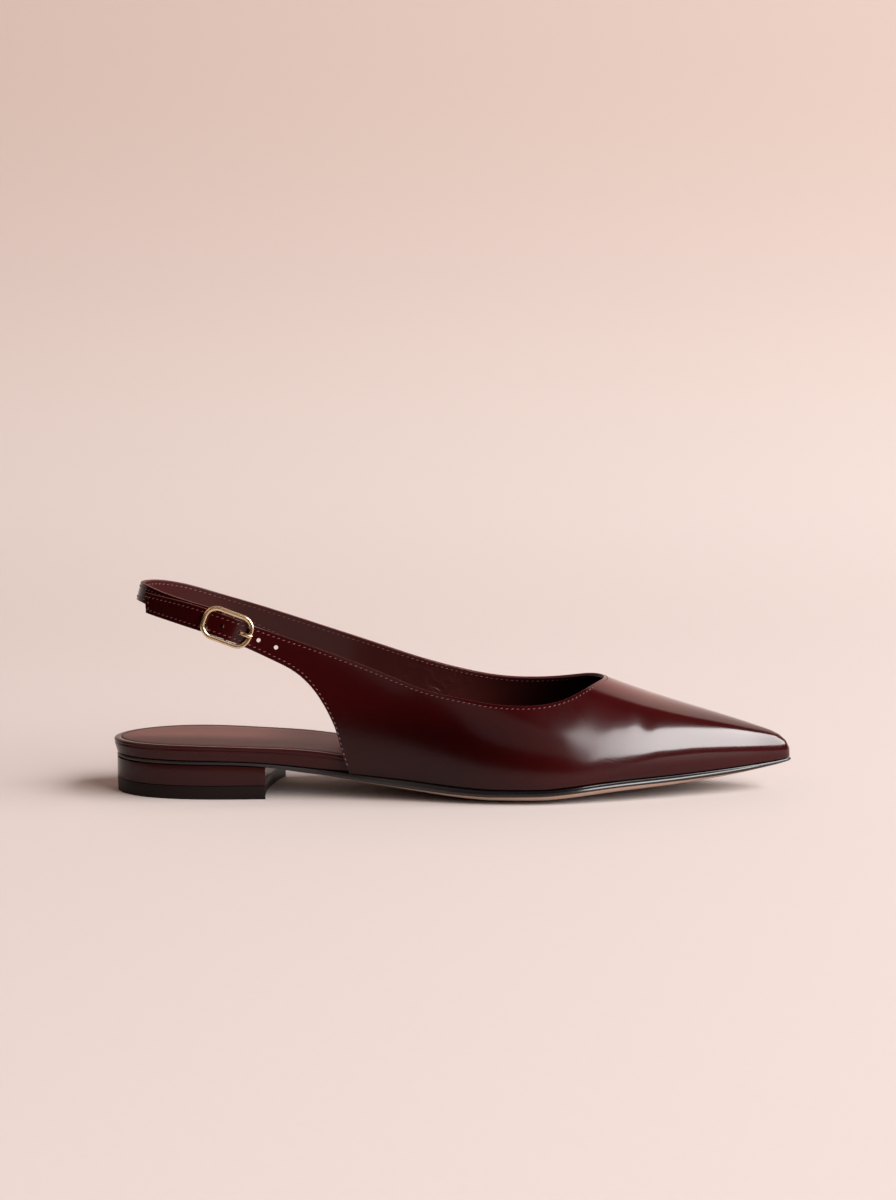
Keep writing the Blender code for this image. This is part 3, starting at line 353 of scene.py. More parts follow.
def half_width(x, z, side):
    """Half width of the outside of the upper at height z of the section at x."""
    shift = side * SHIFT(x)
    widest = WIDEST(x)
    full = feather(x, side) + BULGE(x) - shift
    rise = np.clip((z - widest) / (RIDGE(x) - widest), 0, 1)
    above = full * (1 - rise ** SECTION_FULLNESS) ** (1 / SECTION_FULLNESS)
    drop = np.clip((widest - z) / (widest - feather_height(x)), 0, 1)
    return shift + above - BULGE(x) * drop ** 2


def dome_height(x, y):
    """Height of the outside of the vamp over a place in plan."""
    side = -1 if y < SHIFT(x) else 1
    full = max(feather(x, side) + BULGE(x) - side * SHIFT(x), TINY)
    reach = np.clip(abs(y - SHIFT(x)) / full, 0, 1)
    top = (1 - reach ** SECTION_FULLNESS) ** (1 / SECTION_FULLNESS)
    return WIDEST(x) + (RIDGE(x) - WIDEST(x)) * top


# The wall of the leg is laid out by its reach: the way along it from the back of the sling,
# plus on the medial side and minus on the lateral side.
LOOP_BACK = SLING_BACK * SHOE_LENGTH
LOOP_TURN = SLING_TURN * SHOE_LENGTH
LOOP_REACH = LOOP_TURN * math.pi / 2


def reach_of(x):
    if x >= LOOP_BACK + LOOP_TURN:
        return LOOP_REACH + x - LOOP_BACK - LOOP_TURN
    return LOOP_TURN * math.acos(1 - (x - LOOP_BACK) / LOOP_TURN)


def wall_point(reach, z):
    way = abs(reach)
    side = 1 if reach >= 0 else -1
    if way >= LOOP_REACH:
        x = LOOP_BACK + LOOP_TURN + way - LOOP_REACH
        return np.array([x, side * half_width(x, z, side), z])
    angle = way / LOOP_TURN
    lean = SLING_LEAN * (z - STRAP_HEIGHT) * math.cos(angle) ** 2
    x = LOOP_BACK + LOOP_TURN * (1 - math.cos(angle)) + lean
    return np.array([x, side * math.sin(angle) * half_width(max(x, LOOP_TURN), z, side), z])


def wall_normal(reach, z):
    along = wall_point(reach + WALL_PROBE, z) - wall_point(reach - WALL_PROBE, z)
    up = wall_point(reach, z + WALL_PROBE) - wall_point(reach, z - WALL_PROBE)
    normal = np.cross(up, along)
    return normal / np.linalg.norm(normal)


def edge_curve(rows):
    return column(rows, "height", INSTEP_HEIGHT)


def run_along(path):
    """Distance along a path at each of its points."""
    return np.concatenate([[0], np.cumsum(np.linalg.norm(np.diff(path, axis=0), axis=1))])


def read_off(spots, run, places):
    """Places at distances along their path."""
    return np.stack([np.interp(spots, run, places[:, k]) for k in range(3)], axis=-1)


def resample(path, count):
    """Points at equal steps along a fine path."""
    path = np.asarray(path)
    run = run_along(path)
    return read_off(np.linspace(0, run[-1], count), run, path)


def wall_strip(top, low):
    """Column of the leather from one edge to the other, each edge a (reach, height)."""
    shares = np.linspace(0, 1, WALL_STEPS + 1)
    path = [wall_point(top[0] + (low[0] - top[0]) * s, top[1] + (low[1] - top[1]) * s)
            for s in shares]
    return resample(path, ROWS + 1)


def vamp_strip(top, foot, side):
    """Column from a point of the throat over the vamp and down to the feather line."""
    full = side * (feather(foot, side) + BULGE(foot))
    path = []
    for turn in np.linspace(0, math.pi / 2, ARC_STEPS + 1):
        share = math.sin(turn)
        x = top[0] + (foot - top[0]) * share
        y = top[1] + (full - top[1]) * share
        path.append((x, y, dome_height(x, y)))
    path[-1] = (foot, full, float(WIDEST(foot)))
    drop = float(WIDEST(foot) - feather_height(foot))
    for share in np.linspace(0, 1, ROWS)[1:]:
        path.append((foot, full - side * BULGE(foot) * share ** 2, WIDEST(foot) - drop * share))
    return resample(path, ROWS + 1)


def vamp_places():
    """Topline and lower places of the vamp's columns, eased through the rows of its pairs."""
    steps = range(len(VAMP_PAIRS))
    top = Smooth(steps, [math.sqrt(max(THROAT - row.top, 0)) for row in VAMP_PAIRS])
    low = Smooth(steps, [float(swing(row.low * SHOE_LENGTH)) for row in VAMP_PAIRS])
    places = np.linspace(0, len(VAMP_PAIRS) - 1, VAMP_COLUMNS + 1)
    return [((THROAT - float(top(p)) ** 2) * SHOE_LENGTH, float(unswing(float(low(p)))))
            for p in places]


def vamp_side(side, topline):
    """Columns from the foot of the quarter to the tip of the toe."""
    strips = []
    for place, (top_x, low_x) in enumerate(vamp_places()):
        top_z = float(topline(top_x))
        if place <= VAMP_COLUMNS * SIDE_COLUMNS:
            low = (reach_of(low_x) * side, float(feather_height(low_x)))
            strips.append(wall_strip((reach_of(top_x) * side, top_z), low))
        elif place == VAMP_COLUMNS:
            strips.append(vamp_strip((top_x, float(SHIFT(top_x))), low_x, side))
        else:
            strips.append(vamp_strip((top_x, side * half_width(top_x, top_z, side)), low_x, side))
    return strips


# Strap holes: the prong hole lies in front of the bar, the others a pitch apart
FRAME_ALONG = 0.178
FRAME_RISE = 1.525
BAR_AHEAD = 0.6 * MM
PRONG_HOLE_AHEAD = 4.3 * MM
TOP_ABOVE_HOLE = 1.5 * MM
FIRST_HOLE = -1
BAR_OFF = -UPPER_WALL / 2
PRONG_PLAY = 0.15 * MM
LATERAL_TOP = edge_curve(TOPLINE_LATERAL)
LATERAL_LOW = edge_curve(LOW_LATERAL)
MEDIAL_LOW = edge_curve(LOW_MEDIAL)
LOW_OF_TOP = Smooth([row.top * SHOE_LENGTH for row in STRAP_PAIRS],
                    [row.low * SHOE_LENGTH for row in STRAP_PAIRS])
LIFT = column(STRAP_LIFT, "share", STACK_LIFT)
SLING_BREADTH = column(SLING_WIDTH, "height", STRAP_WIDTH, LOOP_REACH)
MEDIAL_TOP = Smooth(
    [reach_of(row.along * SHOE_LENGTH) for row in TOPLINE_MEDIAL]
    + [row.along * LOOP_REACH for row in SLING_TOP],
    [row.height * INSTEP_HEIGHT for row in TOPLINE_MEDIAL]
    + [row.height * INSTEP_HEIGHT for row in SLING_TOP])


def hole_places():
    """Topline places of the columns that run through the holes, from the tip on."""
    pitch = HOLE_PITCH * math.cos(BUCKLE_TILT)
    bar = FRAME_ALONG * SHOE_LENGTH + BAR_AHEAD
    prong = bar + PRONG_HOLE_AHEAD * math.cos(BUCKLE_TILT) + TOP_ABOVE_HOLE
    return [prong + (FIRST_HOLE + k) * pitch for k in range(HOLE_COUNT)]


def medial_strips():
    """Medial quarter from the vamp back to the start of the sling."""
    start = LOOP_BACK + LOOP_TURN
    strips = []
    for x in np.linspace(VAMP_PAIRS[0].top * SHOE_LENGTH, start, QUARTER_COLUMNS + 1)[1:]:
        low_x = float(LOW_OF_TOP(x))
        top = (reach_of(x), float(MEDIAL_TOP(reach_of(x))))
        strips.append(wall_strip(top, (reach_of(low_x), float(MEDIAL_LOW(low_x)))))
    return strips


def sling_strips():
    """Sling from the medial strap round the heel to its end at the buckle."""
    strips = []
    for reach in np.linspace(LOOP_REACH, SLING_END * LOOP_REACH, SLING_COLUMNS + 1)[1:]:
        top = float(MEDIAL_TOP(reach))
        rise = MEDIAL_TOP(reach + SLOPE_PROBE) - MEDIAL_TOP(reach - SLOPE_PROBE)
        slope = float(rise) / (2 * SLOPE_PROBE)
        square = math.hypot(1, slope)
        width = float(SLING_BREADTH(reach))
        low = (reach + width * slope / square, top - width / square)
        strips.append(wall_strip((reach, top), low))
    return strips


def normals(grid):
    """Outward normals of a grid whose columns run down and whose rows run to the front."""
    down = np.gradient(grid, axis=1)
    ahead = np.gradient(grid, axis=0)
    normal = np.cross(down, ahead)
    return normal / np.linalg.norm(normal, axis=2, keepdims=True)


def offset_outline(distance, angle):
    """Lateral and medial plan point of the feather line, moved outwards by a distance."""
    x = unswing(angle)
    behind = unswing(max(angle - ANGLE_PROBE, 0))
    before = unswing(min(angle + ANGLE_PROBE, math.pi))
    points = []
    for side in (-1, 1):
        ahead = (before - behind, side * (feather(before, side) - feather(behind, side)))
        size = math.hypot(*ahead)
        out = (-ahead[1] * side / size, ahead[0] * side / size)
        if angle <= 0 or angle >= math.pi:
            out = (-1 if angle <= 0 else 1, 0)
        points.append((x + out[0] * distance, side * feather(x, side) + out[1] * distance))
    return points


def strap_point(ahead, across, off):
    """Place by the buckle: ahead along the strap, across it upwards and off the wall."""
    way = reach_of(FRAME_ALONG * SHOE_LENGTH)
    way += ahead * math.cos(BUCKLE_TILT) + across * math.sin(BUCKLE_TILT)
    z = FRAME_RISE * INSTEP_HEIGHT
    z += across * math.cos(BUCKLE_TILT) - ahead * math.sin(BUCKLE_TILT)
    return wall_point(-way, z) + wall_normal(-way, z) * off


class BuckleAxes:
    """Flat axes of the buckle: ahead along the strap, across upwards, off the wall."""

    def __init__(self):
        self.middle = strap_point(0, 0, 0)
        off = strap_point(0, 0, MM) - self.middle
        self.off = off / np.linalg.norm(off)
        ahead = strap_point(MM, 0, 0) - strap_point(-MM, 0, 0)
        ahead -= self.off * ahead.dot(self.off)
        self.ahead = ahead / np.linalg.norm(ahead)
        self.across = np.cross(self.off, self.ahead)

    def place(self, ahead, across, off):
        return self.middle + self.ahead * ahead + self.across * across + self.off * off

    def read(self, point):
        way = point - self.middle
        return np.array([way.dot(self.ahead), way.dot(self.across), way.dot(self.off)])


# Pieces are laid out in distances along, and moved to the frame of the shoe as they are made
HALF_LENGTH = SHOE_LENGTH / 2
TO_FRAME = np.array([HALF_LENGTH, 0, 0])
HERE = (0, 0, 0)
BEVEL_SEGMENTS = 3
# Angles in degrees from which an edge stays sharp
SHARP_UPPER = 55
SHARP_HEEL = 40
SHARP_REST = 60
SHARP_NEVER = 180


def clear_selection():
    if bpy.context.object and bpy.context.object.mode != "OBJECT":
        bpy.ops.object.mode_set(mode="OBJECT")
    bpy.ops.object.select_all(action="DESELECT")


def pick(piece):
    """Selects a piece alone and makes it the active one."""
    clear_selection()
    piece.select_set(True)
    bpy.context.view_layer.objects.active = piece


def apply_modifier(piece, kind, **settings):
    """Adds a modifier with its settings and applies it."""
    bpy.context.view_layer.objects.active = piece
    made = piece.modifiers.new(kind.lower(), kind)
    for name, value in settings.items():
        setattr(made, name, value)
    bpy.ops.object.modifier_apply(modifier=made.name)


def bevel(piece, width, angle):
    """Rounds the edges that turn more than an angle in degrees."""
    apply_modifier(piece, "BEVEL", width=width, segments=BEVEL_SEGMENTS, limit_method="ANGLE",
                   angle_limit=math.radians(angle))


def combine(piece, other, operation):
    """Joins another piece to a piece or cuts it out, and drops it."""
    apply_modifier(piece, "BOOLEAN", operation=operation, solver="EXACT", object=other)
    bpy.data.objects.remove(other, do_unlink=True)


def sheet(name, grid):
    """A grid primitive laid over a table of places, columns along X and rows along Y."""
    clear_selection()
    columns, rows = grid.shape[:2]
    bpy.ops.mesh.primitive_grid_add(x_subdivisions=columns - 1, y_subdivisions=rows - 1, size=1,
                                    location=HERE)
    piece = bpy.context.object
    piece.name = name
    places = grid.transpose(1, 0, 2).reshape(-1, 3) - TO_FRAME
    piece.data.vertices.foreach_set("co", places.ravel())
    piece.data.update()
    return piece


def edit_all(piece):
    """Opens a piece for editing, all of it selected."""
    pick(piece)
    bpy.ops.object.mode_set(mode="EDIT")
    bpy.ops.mesh.select_all(action="SELECT")


def add_object(name, data, place=HERE):
    thing = bpy.data.objects.new(name, data)
    thing.location = place
    bpy.context.collection.objects.link(thing)
    return thing


def tidy(piece):
    """Merges doubles, dissolves what has no size and turns the faces outwards."""
    edit_all(piece)
    bpy.ops.mesh.remove_doubles(threshold=MERGE)
    bpy.ops.mesh.dissolve_degenerate(threshold=MERGE / 2)
    bpy.ops.mesh.normals_make_consistent(inside=False)
    bpy.ops.object.mode_set(mode="OBJECT")


def cap_end(piece):
    """Joins the rings of a piece and closes its open end."""
    edit_all(piece)
    bpy.ops.mesh.remove_doubles(threshold=MERGE)
    bpy.ops.mesh.select_all(action="DESELECT")
    bpy.ops.mesh.select_non_manifold()
    bpy.ops.mesh.edge_face_add()
    bpy.ops.object.mode_set(mode="OBJECT")


def smooth(piece, angle):
    pick(piece)
    bpy.ops.object.shade_smooth_by_angle(angle=math.radians(angle))


def settle(piece, finish, slot_name, *nodes):
    """Gives a piece its finish and its place on the shoe."""
    piece.data.materials.clear()
    piece.data.materials.append(finish)
    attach(piece, "root")
    if nodes:
        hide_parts(*nodes)
    return piece


# Shader maths
MIX_SHARE, MIX_FIRST, MIX_SECOND, MIX_RESULT = 0, 6, 7, 2


class Value:
    """A number or colour that varies over a surface."""

    def __init__(self, finish, socket):
        self.finish = finish
        self.socket = socket

    def maths(self, operation, first, second):
        return self.finish.node("Math", {"operation": operation}, {0: first, 1: second})

    def __add__(self, other):
        return self.maths("ADD", self, other)

    __radd__ = __add__

    def __rsub__(self, other):
        return self.maths("SUBTRACT", other, self)

    def __mul__(self, other):
        return self.maths("MULTIPLY", self, other)


class Finish:
    """A material of the shoe and the nodes that vary it."""

    def __init__(self, surface):
        self.material = bpy.data.materials.new(surface.name)
        self.material.use_nodes = True
        self.tree = self.material.node_tree
        self.shader = self.tree.nodes["Principled BSDF"]
        self.set("Base Color", (*surface.colour, 1))
        self.set("Roughness", surface.roughness)
        self.set("Metallic", surface.metallic)
        self.set("Coat Roughness", surface.coat_roughness)
        self.set("Specular IOR Level", surface.shine)
        self.place = self.node("TexCoord", output="Object")

    def set(self, socket, value):
        self.link(self.shader.inputs[socket], value)

    def link(self, socket, value):
        if isinstance(value, Value):
            self.tree.links.new(value.socket, socket)
        else:
            socket.default_value = value

    def node(self, kind, settings=None, inputs=None, output=0):
        made = self.tree.nodes.new("ShaderNode" + kind)
        for name, value in (settings or {}).items():
            setattr(made, name, value)
        for name, value in (inputs or {}).items():
            self.link(made.inputs[name], value)
        return Value(self, made.outputs[output])

    def noise(self, pattern):
        return self.node("TexNoise", None, {"Vector": self.place, "Scale": pattern.scale,
                                            "Detail": pattern.detail,
                                            "Roughness": pattern.rough,
                                            "Distortion": pattern.warp})

    def cells(self, scale):
        return self.node("TexVoronoi", {"feature": "F1"},
                         {"Vector": self.place, "Scale": scale}, "Distance")

    def part(self, axis):
        return self.node("SeparateXYZ", None, {0: self.place}, axis)

    def ease(self, value, low, high, to_low=0.0, to_high=1.0):
        return self.node("MapRange", {"interpolation_type": "SMOOTHSTEP"},
                         {"Value": value, "From Min": low, "From Max": high, "To Min": to_low,
                          "To Max": to_high})

    def near(self, centre, reach):
        """1 at a place, falling to 0 at a reach from it."""
        far = self.node("VectorMath", {"operation": "DISTANCE"}, {0: self.place, 1: centre},
                        "Value")
        return self.ease(far, 0.0, reach, 1.0, 0.0)

    def mix(self, share, first, second):
        made = self.tree.nodes.new("ShaderNodeMix")
        made.data_type = "RGBA"
        for place, value in ((MIX_SHARE, share), (MIX_FIRST, first), (MIX_SECOND, second)):
            if place != MIX_SHARE and not isinstance(value, Value):
                value = (*value, 1)
            self.link(made.inputs[place], value)
        return Value(self, made.outputs[MIX_RESULT])

    def attribute(self, name):
        return self.node("Attribute", {"attribute_name": name}, None, "Fac")

    def bump(self, height, relief, after=None):
        inputs = {"Height": height, "Strength": relief.strength, "Distance": relief.height}
        if after:
            inputs["Normal"] = after
        return self.node("Bump", None, inputs, "Normal")


# Finishes. Colours are linear.
WINE = (0.021, 0.0010, 0.0012)
WINE_DEEP = (0.011, 0.0002, 0.0003)
WINE_WARM = (0.027, 0.0014, 0.0016)
# Painted sheen: paler red for the top of the vamp, standing in for its reflection of the room
WINE_PAINTED_SHEEN = (0.072, 0.0055, 0.0055)
EDGE_WINE = (0.070, 0.018, 0.017)
EDGE_DEEP = (0.045, 0.009, 0.009)
LINING = (0.036, 0.0070, 0.0062)
# Painted shade deep in the toe of the lining
LINING_PAINTED_SHADE = (0.012, 0.0016, 0.0015)
THREAD = (0.075, 0.020, 0.023)
THREAD_PALE = (0.14, 0.046, 0.050)
SOCK_FAR = (0.138, 0.056, 0.046)
# Painted shade of the sock by its near edge and under the quarters
SOCK_PAINTED_SHADE = (0.050, 0.017, 0.015)
RIM = (0.020, 0.0030, 0.0030)
RIM_PALE = (0.032, 0.0055, 0.0052)
HEEL_WINE = (0.015, 0.0026, 0.0025)
HEEL_PALE = (0.026, 0.0048, 0.0046)
INK = (0.0045, 0.0030, 0.0030)
RUBBER_BLACK = (0.0075, 0.0042, 0.0036)
TAN = (0.30, 0.185, 0.135)
TAN_DARK = (0.20, 0.11, 0.075)
GOLD = (0.80, 0.59, 0.36)

# Surfaces. shine is the strength of the mirror-like part.
Surface = namedtuple("Surface", "name colour roughness shine metallic coat_roughness",
                     defaults=(0.0, 0.03))
UPPER_SURFACE = Surface("burgundy_leather", WINE, 0.13, 0.25, coat_roughness=0.10)
EDGE_SURFACE = Surface("folded_edge", EDGE_WINE, 0.4, 0.12)
LINING_SURFACE = Surface("lining_leather", LINING, 0.28, 0.22)
SOCK_SURFACE = Surface("sock_leather", SOCK_FAR, 0.42, 0.07)
RIM_SURFACE = Surface("rim_leather", RIM, 0.2, 0.20)
HEEL_SURFACE = Surface("heel_covering", HEEL_WINE, 0.16, 0.19)
LIFT_SURFACE = Surface("lift_rubber", RUBBER_BLACK, 0.34, 0.12)
SOLE_SURFACE = Surface("sole_finish", INK, 0.14, 0.55)
THREAD_SURFACE = Surface("stitch_thread", THREAD, 0.35, 0.35)
GOLD_SURFACE = Surface("gold_metal", GOLD, 0.19, 0.5, 1.0)

# Patterns. scale is how many fit in a metre.
Noise = namedtuple("Noise", "scale detail rough warp", defaults=(2.0, 0.5, 0.0))
LEATHER_CLOUD = Noise(28.0, 3.0)
LEATHER_WEAR = Noise(210.0, 3.0)
LEATHER_PORES = Noise(2600.0)
LEATHER_RIPPLE = Noise(95.0, 2.0, 0.55, 0.3)
EDGE_SPECK = Noise(700.0)
LINING_RIPPLE = Noise(60.0, 2.0, 0.5, 0.4)
LINING_CRUMPLE = Noise(150.0, 2.0, 0.5, 0.8)
SOCK_CLOUD = Noise(24.0, 4.0)
SOCK_PORES = Noise(2200.0)
RIM_CLOUD = Noise(40.0, 3.0)
HEEL_CLOUD = Noise(35.0, 3.0)
HEEL_RIPPLE = Noise(120.0)
LIFT_SPECK = Noise(1500.0)
SOLE_FIBRE = Noise(900.0, 3.0)
THREAD_TWIST = Noise(2500.0)
GOLD_WEAR = Noise(600.0)
LEATHER_GRAIN = 900.0
LEATHER_PEBBLE = 1900.0
LINING_GRAIN = 800.0
SOCK_GRAIN = 1000.0
RIM_GRAIN = 950.0

# Reliefs
Relief = namedtuple("Relief", "strength height")
LEATHER_FINE = Relief(0.4, 0.05 * MM)
LEATHER_PEBBLED = Relief(0.6, 0.045 * MM)
LEATHER_SOFT = Relief(0.25, 0.10 * MM)
EDGE_ROUGH = Relief(0.3, 0.05 * MM)
LINING_FINE = Relief(0.25, 0.05 * MM)
LINING_SOFT = Relief(0.35, 0.25 * MM)
LINING_FOLDED = Relief(0.8, 1.6 * MM)
SOCK_FINE = Relief(0.3, 0.06 * MM)
RIM_FINE = Relief(0.15, 0.05 * MM)
HEEL_FINE = Relief(0.12, 0.04 * MM)
HEEL_SOFT = Relief(0.15, 0.06 * MM)
LIFT_FINE = Relief(0.3, 0.03 * MM)
SOLE_FINE = Relief(0.15, 0.04 * MM)

# Where the finishes change, in the frame of the shoe, and by how much
TINT_RANGE = (0.35, 0.68)
GRAIN_SHARE = 0.06
PORE_SHARE = 0.10
WEAR_DULLS = 0.05
FLEX_DULLS = 0.04
VAMP_FLEX = (0.060, -0.030, 0.022)
VAMP_FLEX_REACH = 24 * MM
POLISH_AHEAD = (38 * MM, 86 * MM)
POLISH_END = (112 * MM, 130 * MM)
POLISH_UP = (13 * MM, 19 * MM)
POLISH = 0.74
POLISH_AT_TIP = 0.55
VAMP_AHEAD = (-8 * MM, 60 * MM)
# Where the painted sheen on the top of the vamp lies, across and along the shoe
CROWN_IN = (-20 * MM, -4 * MM)
CROWN_END = (60 * MM, 112 * MM)
QUARTER_UP = (24 * MM, 40 * MM)
# Where the painted shade of the lining begins and where it is full, along the shoe
LINING_AHEAD = (0.0, 40 * MM)
LINING_FOLD = (-0.008, 0.034, 0.038)
LINING_FOLD_REACH = 24 * MM
# The sock's painted shade: where it lies across and along the sock, and how much light is left
# under the quarters
SOCK_IN = (-13 * MM, 6 * MM)
SOCK_AHEAD = (-86 * MM, -52 * MM)
SOCK_SHADED = 0.08
SOCK_LEAST = 0.75
SOCK_CLOUDED = 0.5
SOCK_PORE_SHARE = 0.5
SPECK_DULLS = 0.16
SOLE_AHEAD = (-30 * MM, 40 * MM)
SOLE_DULL = 0.42
TAN_RANGE = (0.40, 0.60)
TAN_DULLS = 0.4
GOLD_DULLS = 0.10


def polished_leather():
    """Brushed leather, polished to a gloss on the vamp above the line of the sole, with a painted
    sheen of paler red along the top of the vamp.
    """
    finish = Finish(UPPER_SURFACE)
    ahead, inwards, up = finish.part(0), finish.part(1), finish.part(2)
    tint = finish.ease(finish.noise(LEATHER_CLOUD), *TINT_RANGE)
    quarter = finish.mix(finish.ease(up, *QUARTER_UP), WINE_DEEP, WINE)
    vamp = finish.mix(tint, WINE, WINE_WARM)
    toe = finish.ease(ahead, *VAMP_AHEAD)
    # crown is painted sheen: a paler red along the top of the vamp, standing in for its reflection
    crown = finish.ease(inwards, *CROWN_IN) * toe * (1 - finish.ease(ahead, *CROWN_END))
    finish.set("Base Color", finish.mix(crown, finish.mix(toe, quarter, vamp), WINE_PAINTED_SHEEN))
    flex = finish.near(VAMP_FLEX, VAMP_FLEX_REACH)
    wear = finish.noise(LEATHER_WEAR)
    finish.set("Roughness", UPPER_SURFACE.roughness + wear * WEAR_DULLS + flex * FLEX_DULLS)
    gloss = finish.ease(ahead, *POLISH_AHEAD) * finish.ease(up, *POLISH_UP)
    gloss = gloss * finish.ease(ahead, *POLISH_END, 1.0, POLISH_AT_TIP)
    finish.set("Coat Weight", gloss * POLISH)
    grain = finish.cells(LEATHER_GRAIN) * GRAIN_SHARE
    pores = finish.noise(LEATHER_PORES) * PORE_SHARE
    fine = finish.bump(grain + pores, LEATHER_FINE)
    pebbled = finish.bump(finish.cells(LEATHER_PEBBLE) * flex, LEATHER_PEBBLED, fine)
    finish.set("Normal", finish.bump(finish.noise(LEATHER_RIPPLE), LEATHER_SOFT, pebbled))
    return finish.material


def folded_edge():
    finish = Finish(EDGE_SURFACE)
    speck = finish.noise(EDGE_SPECK)
    finish.set("Base Color", finish.mix(speck, EDGE_DEEP, EDGE_WINE))
    finish.set("Normal", finish.bump(speck, EDGE_ROUGH))
    return finish.material


def lining_leather():
    """Smooth lining with painted shade that darkens it towards the toe, and soft folds on the inner
    quarter.
    """
    finish = Finish(LINING_SURFACE)
    painted_toe_shade = finish.ease(finish.part(0), *LINING_AHEAD)
    finish.set("Base Color", finish.mix(painted_toe_shade, LINING, LINING_PAINTED_SHADE))
    fold = finish.near(LINING_FOLD, LINING_FOLD_REACH)
    fine = finish.bump(finish.cells(LINING_GRAIN), LINING_FINE)
    soft = finish.bump(finish.noise(LINING_RIPPLE), LINING_SOFT, fine)
    crumple = finish.noise(LINING_CRUMPLE) * fold
    finish.set("Normal", finish.bump(crumple, LINING_FOLDED, soft))
    return finish.material


def sock_leather():
    """Satin leather with painted shade that darkens it towards the near edge and under the
    quarters.
    """
    finish = Finish(SOCK_SURFACE)
    # near and open_to_light paint shade on the sock: darker by its near edge and under the quarters
    near = finish.ease(finish.part(1), *SOCK_IN)
    open_to_light = finish.ease(finish.part(0), *SOCK_AHEAD, 1.0, SOCK_SHADED)
    cloud = SOCK_LEAST + finish.noise(SOCK_CLOUD) * SOCK_CLOUDED
    finish.set("Base Color", finish.mix(near * open_to_light * cloud, SOCK_PAINTED_SHADE, SOCK_FAR))
    pores = finish.noise(SOCK_PORES) * SOCK_PORE_SHARE
    finish.set("Normal", finish.bump(finish.cells(SOCK_GRAIN) + pores, SOCK_FINE))
    return finish.material


def rim_leather():
    finish = Finish(RIM_SURFACE)
    finish.set("Base Color", finish.mix(finish.noise(RIM_CLOUD), RIM, RIM_PALE))
    finish.set("Normal", finish.bump(finish.cells(RIM_GRAIN), RIM_FINE))
    return finish.material


def heel_covering():
    finish = Finish(HEEL_SURFACE)
    finish.set("Base Color", finish.mix(finish.noise(HEEL_CLOUD), HEEL_WINE, HEEL_PALE))
    fine = finish.bump(finish.cells(RIM_GRAIN), HEEL_FINE)
    finish.set("Normal", finish.bump(finish.noise(HEEL_RIPPLE), HEEL_SOFT, fine))
    return finish.material


def lift_rubber():
    finish = Finish(LIFT_SURFACE)
    speck = finish.noise(LIFT_SPECK)
    finish.set("Roughness", LIFT_SURFACE.roughness + speck * SPECK_DULLS)
    finish.set("Normal", finish.bump(speck, LIFT_FINE))
    return finish.material


def sole_finish():
    """Black edge over a tan band and a tan underside; the attribute tan says where."""
    finish = Finish(SOLE_SURFACE)
    tan = finish.attribute("tan")
    fibre = finish.noise(SOLE_FIBRE)
    leather = finish.mix(fibre, TAN_DARK, TAN)
    finish.set("Base Color", finish.mix(finish.ease(tan, *TAN_RANGE), INK, leather))
    ahead = finish.ease(finish.part(0), *SOLE_AHEAD, SOLE_DULL, SOLE_SURFACE.roughness)
    finish.set("Roughness", ahead + finish.ease(tan, *TAN_RANGE, 0.0, TAN_DULLS))
    finish.set("Normal", finish.bump(fibre, SOLE_FINE))
    return finish.material


def stitch_thread():
    """Waxed thread, which shines where it faces the light."""
    finish = Finish(THREAD_SURFACE)
    finish.set("Base Color", finish.mix(finish.noise(THREAD_TWIST), THREAD, THREAD_PALE))
    return finish.material


def polished_gold():
    finish = Finish(GOLD_SURFACE)
    finish.set("Roughness", GOLD_SURFACE.roughness + finish.noise(GOLD_WEAR) * GOLD_DULLS)
    return finish.material


# Upper

EDGE_ROUND = 0.35 * MM
# Least turn in degrees of an edge that is rounded
EDGE_TURN = 60
HOLE_SIDES = 20
HOLE_PIN = 3 * UPPER_WALL
STITCH_PITCH = 2.1 * MM
STITCH_EDGE = 1.5 * MM
STITCH_SIZE = (0.60 * MM, 0.20 * MM, 0.15 * MM)
STITCH_SLANT = math.radians(17)
STITCH_RISE = 0.05 * MM
STITCH_SIDES = 8
STITCH_RINGS = 4
STITCH_PROBE = MM / 4
# Column of the strap's tip that carries its row of stitches
TIP_COLUMN = 2

# Soft creases of the vamp: along and height of the middle as shares of SHOE_LENGTH and
# INSTEP_HEIGHT, length, width and depth in millimetres, slant in degrees; a ridge has depth < 0
Crease = namedtuple("Crease", "along height length width depth slant")
CREASES = table_of(
    Crease,
    (0.772, 0.60, 15.0, 3.4, 0.17, 72.0),
    (0.752, 0.52, 12.0, 3.2, -0.06, 80.0),
    (0.735, 0.44, 13.0, 3.4, 0.12, 62.0),
    (0.700, 0.62, 18.0, 5.0, 0.10, 55.0),
    (0.800, 0.34, 9.0, 3.0, 0.14, 85.0),
)


def crease_depth(place):
    """How far the leather sinks at a place of its outside."""
    depth = 0.0
    for crease in CREASES:
        ahead = place[0] - crease.along * SHOE_LENGTH
        up = place[2] - crease.height * INSTEP_HEIGHT
        slant = math.radians(crease.slant)
        down = (ahead * math.cos(slant) + up * math.sin(slant)) / (crease.length * MM)
        beside = (up * math.cos(slant) - ahead * math.sin(slant)) / (crease.width * MM)
        depth += crease.depth * MM * math.exp(-down * down - beside * beside)
    return depth


def lateral_strips():
    """Columns of the punched strap and the lateral quarter, and their lift off the last."""
    strips, lifts = [], []
    start, end = STRAP_TIP * SHOE_LENGTH, VAMP_PAIRS[0].top * SHOE_LENGTH
    for x in np.linspace(start, end, STRAP_COLUMNS + 1)[:-1]:
        low_x = float(LOW_OF_TOP(x))
        top = (-reach_of(x), float(LATERAL_TOP(x)))
        low = (-reach_of(low_x), float(LATERAL_LOW(low_x)))
        strips.append(wall_strip(top, low))
        lifts.append(float(LIFT(x)))
    return strips, lifts


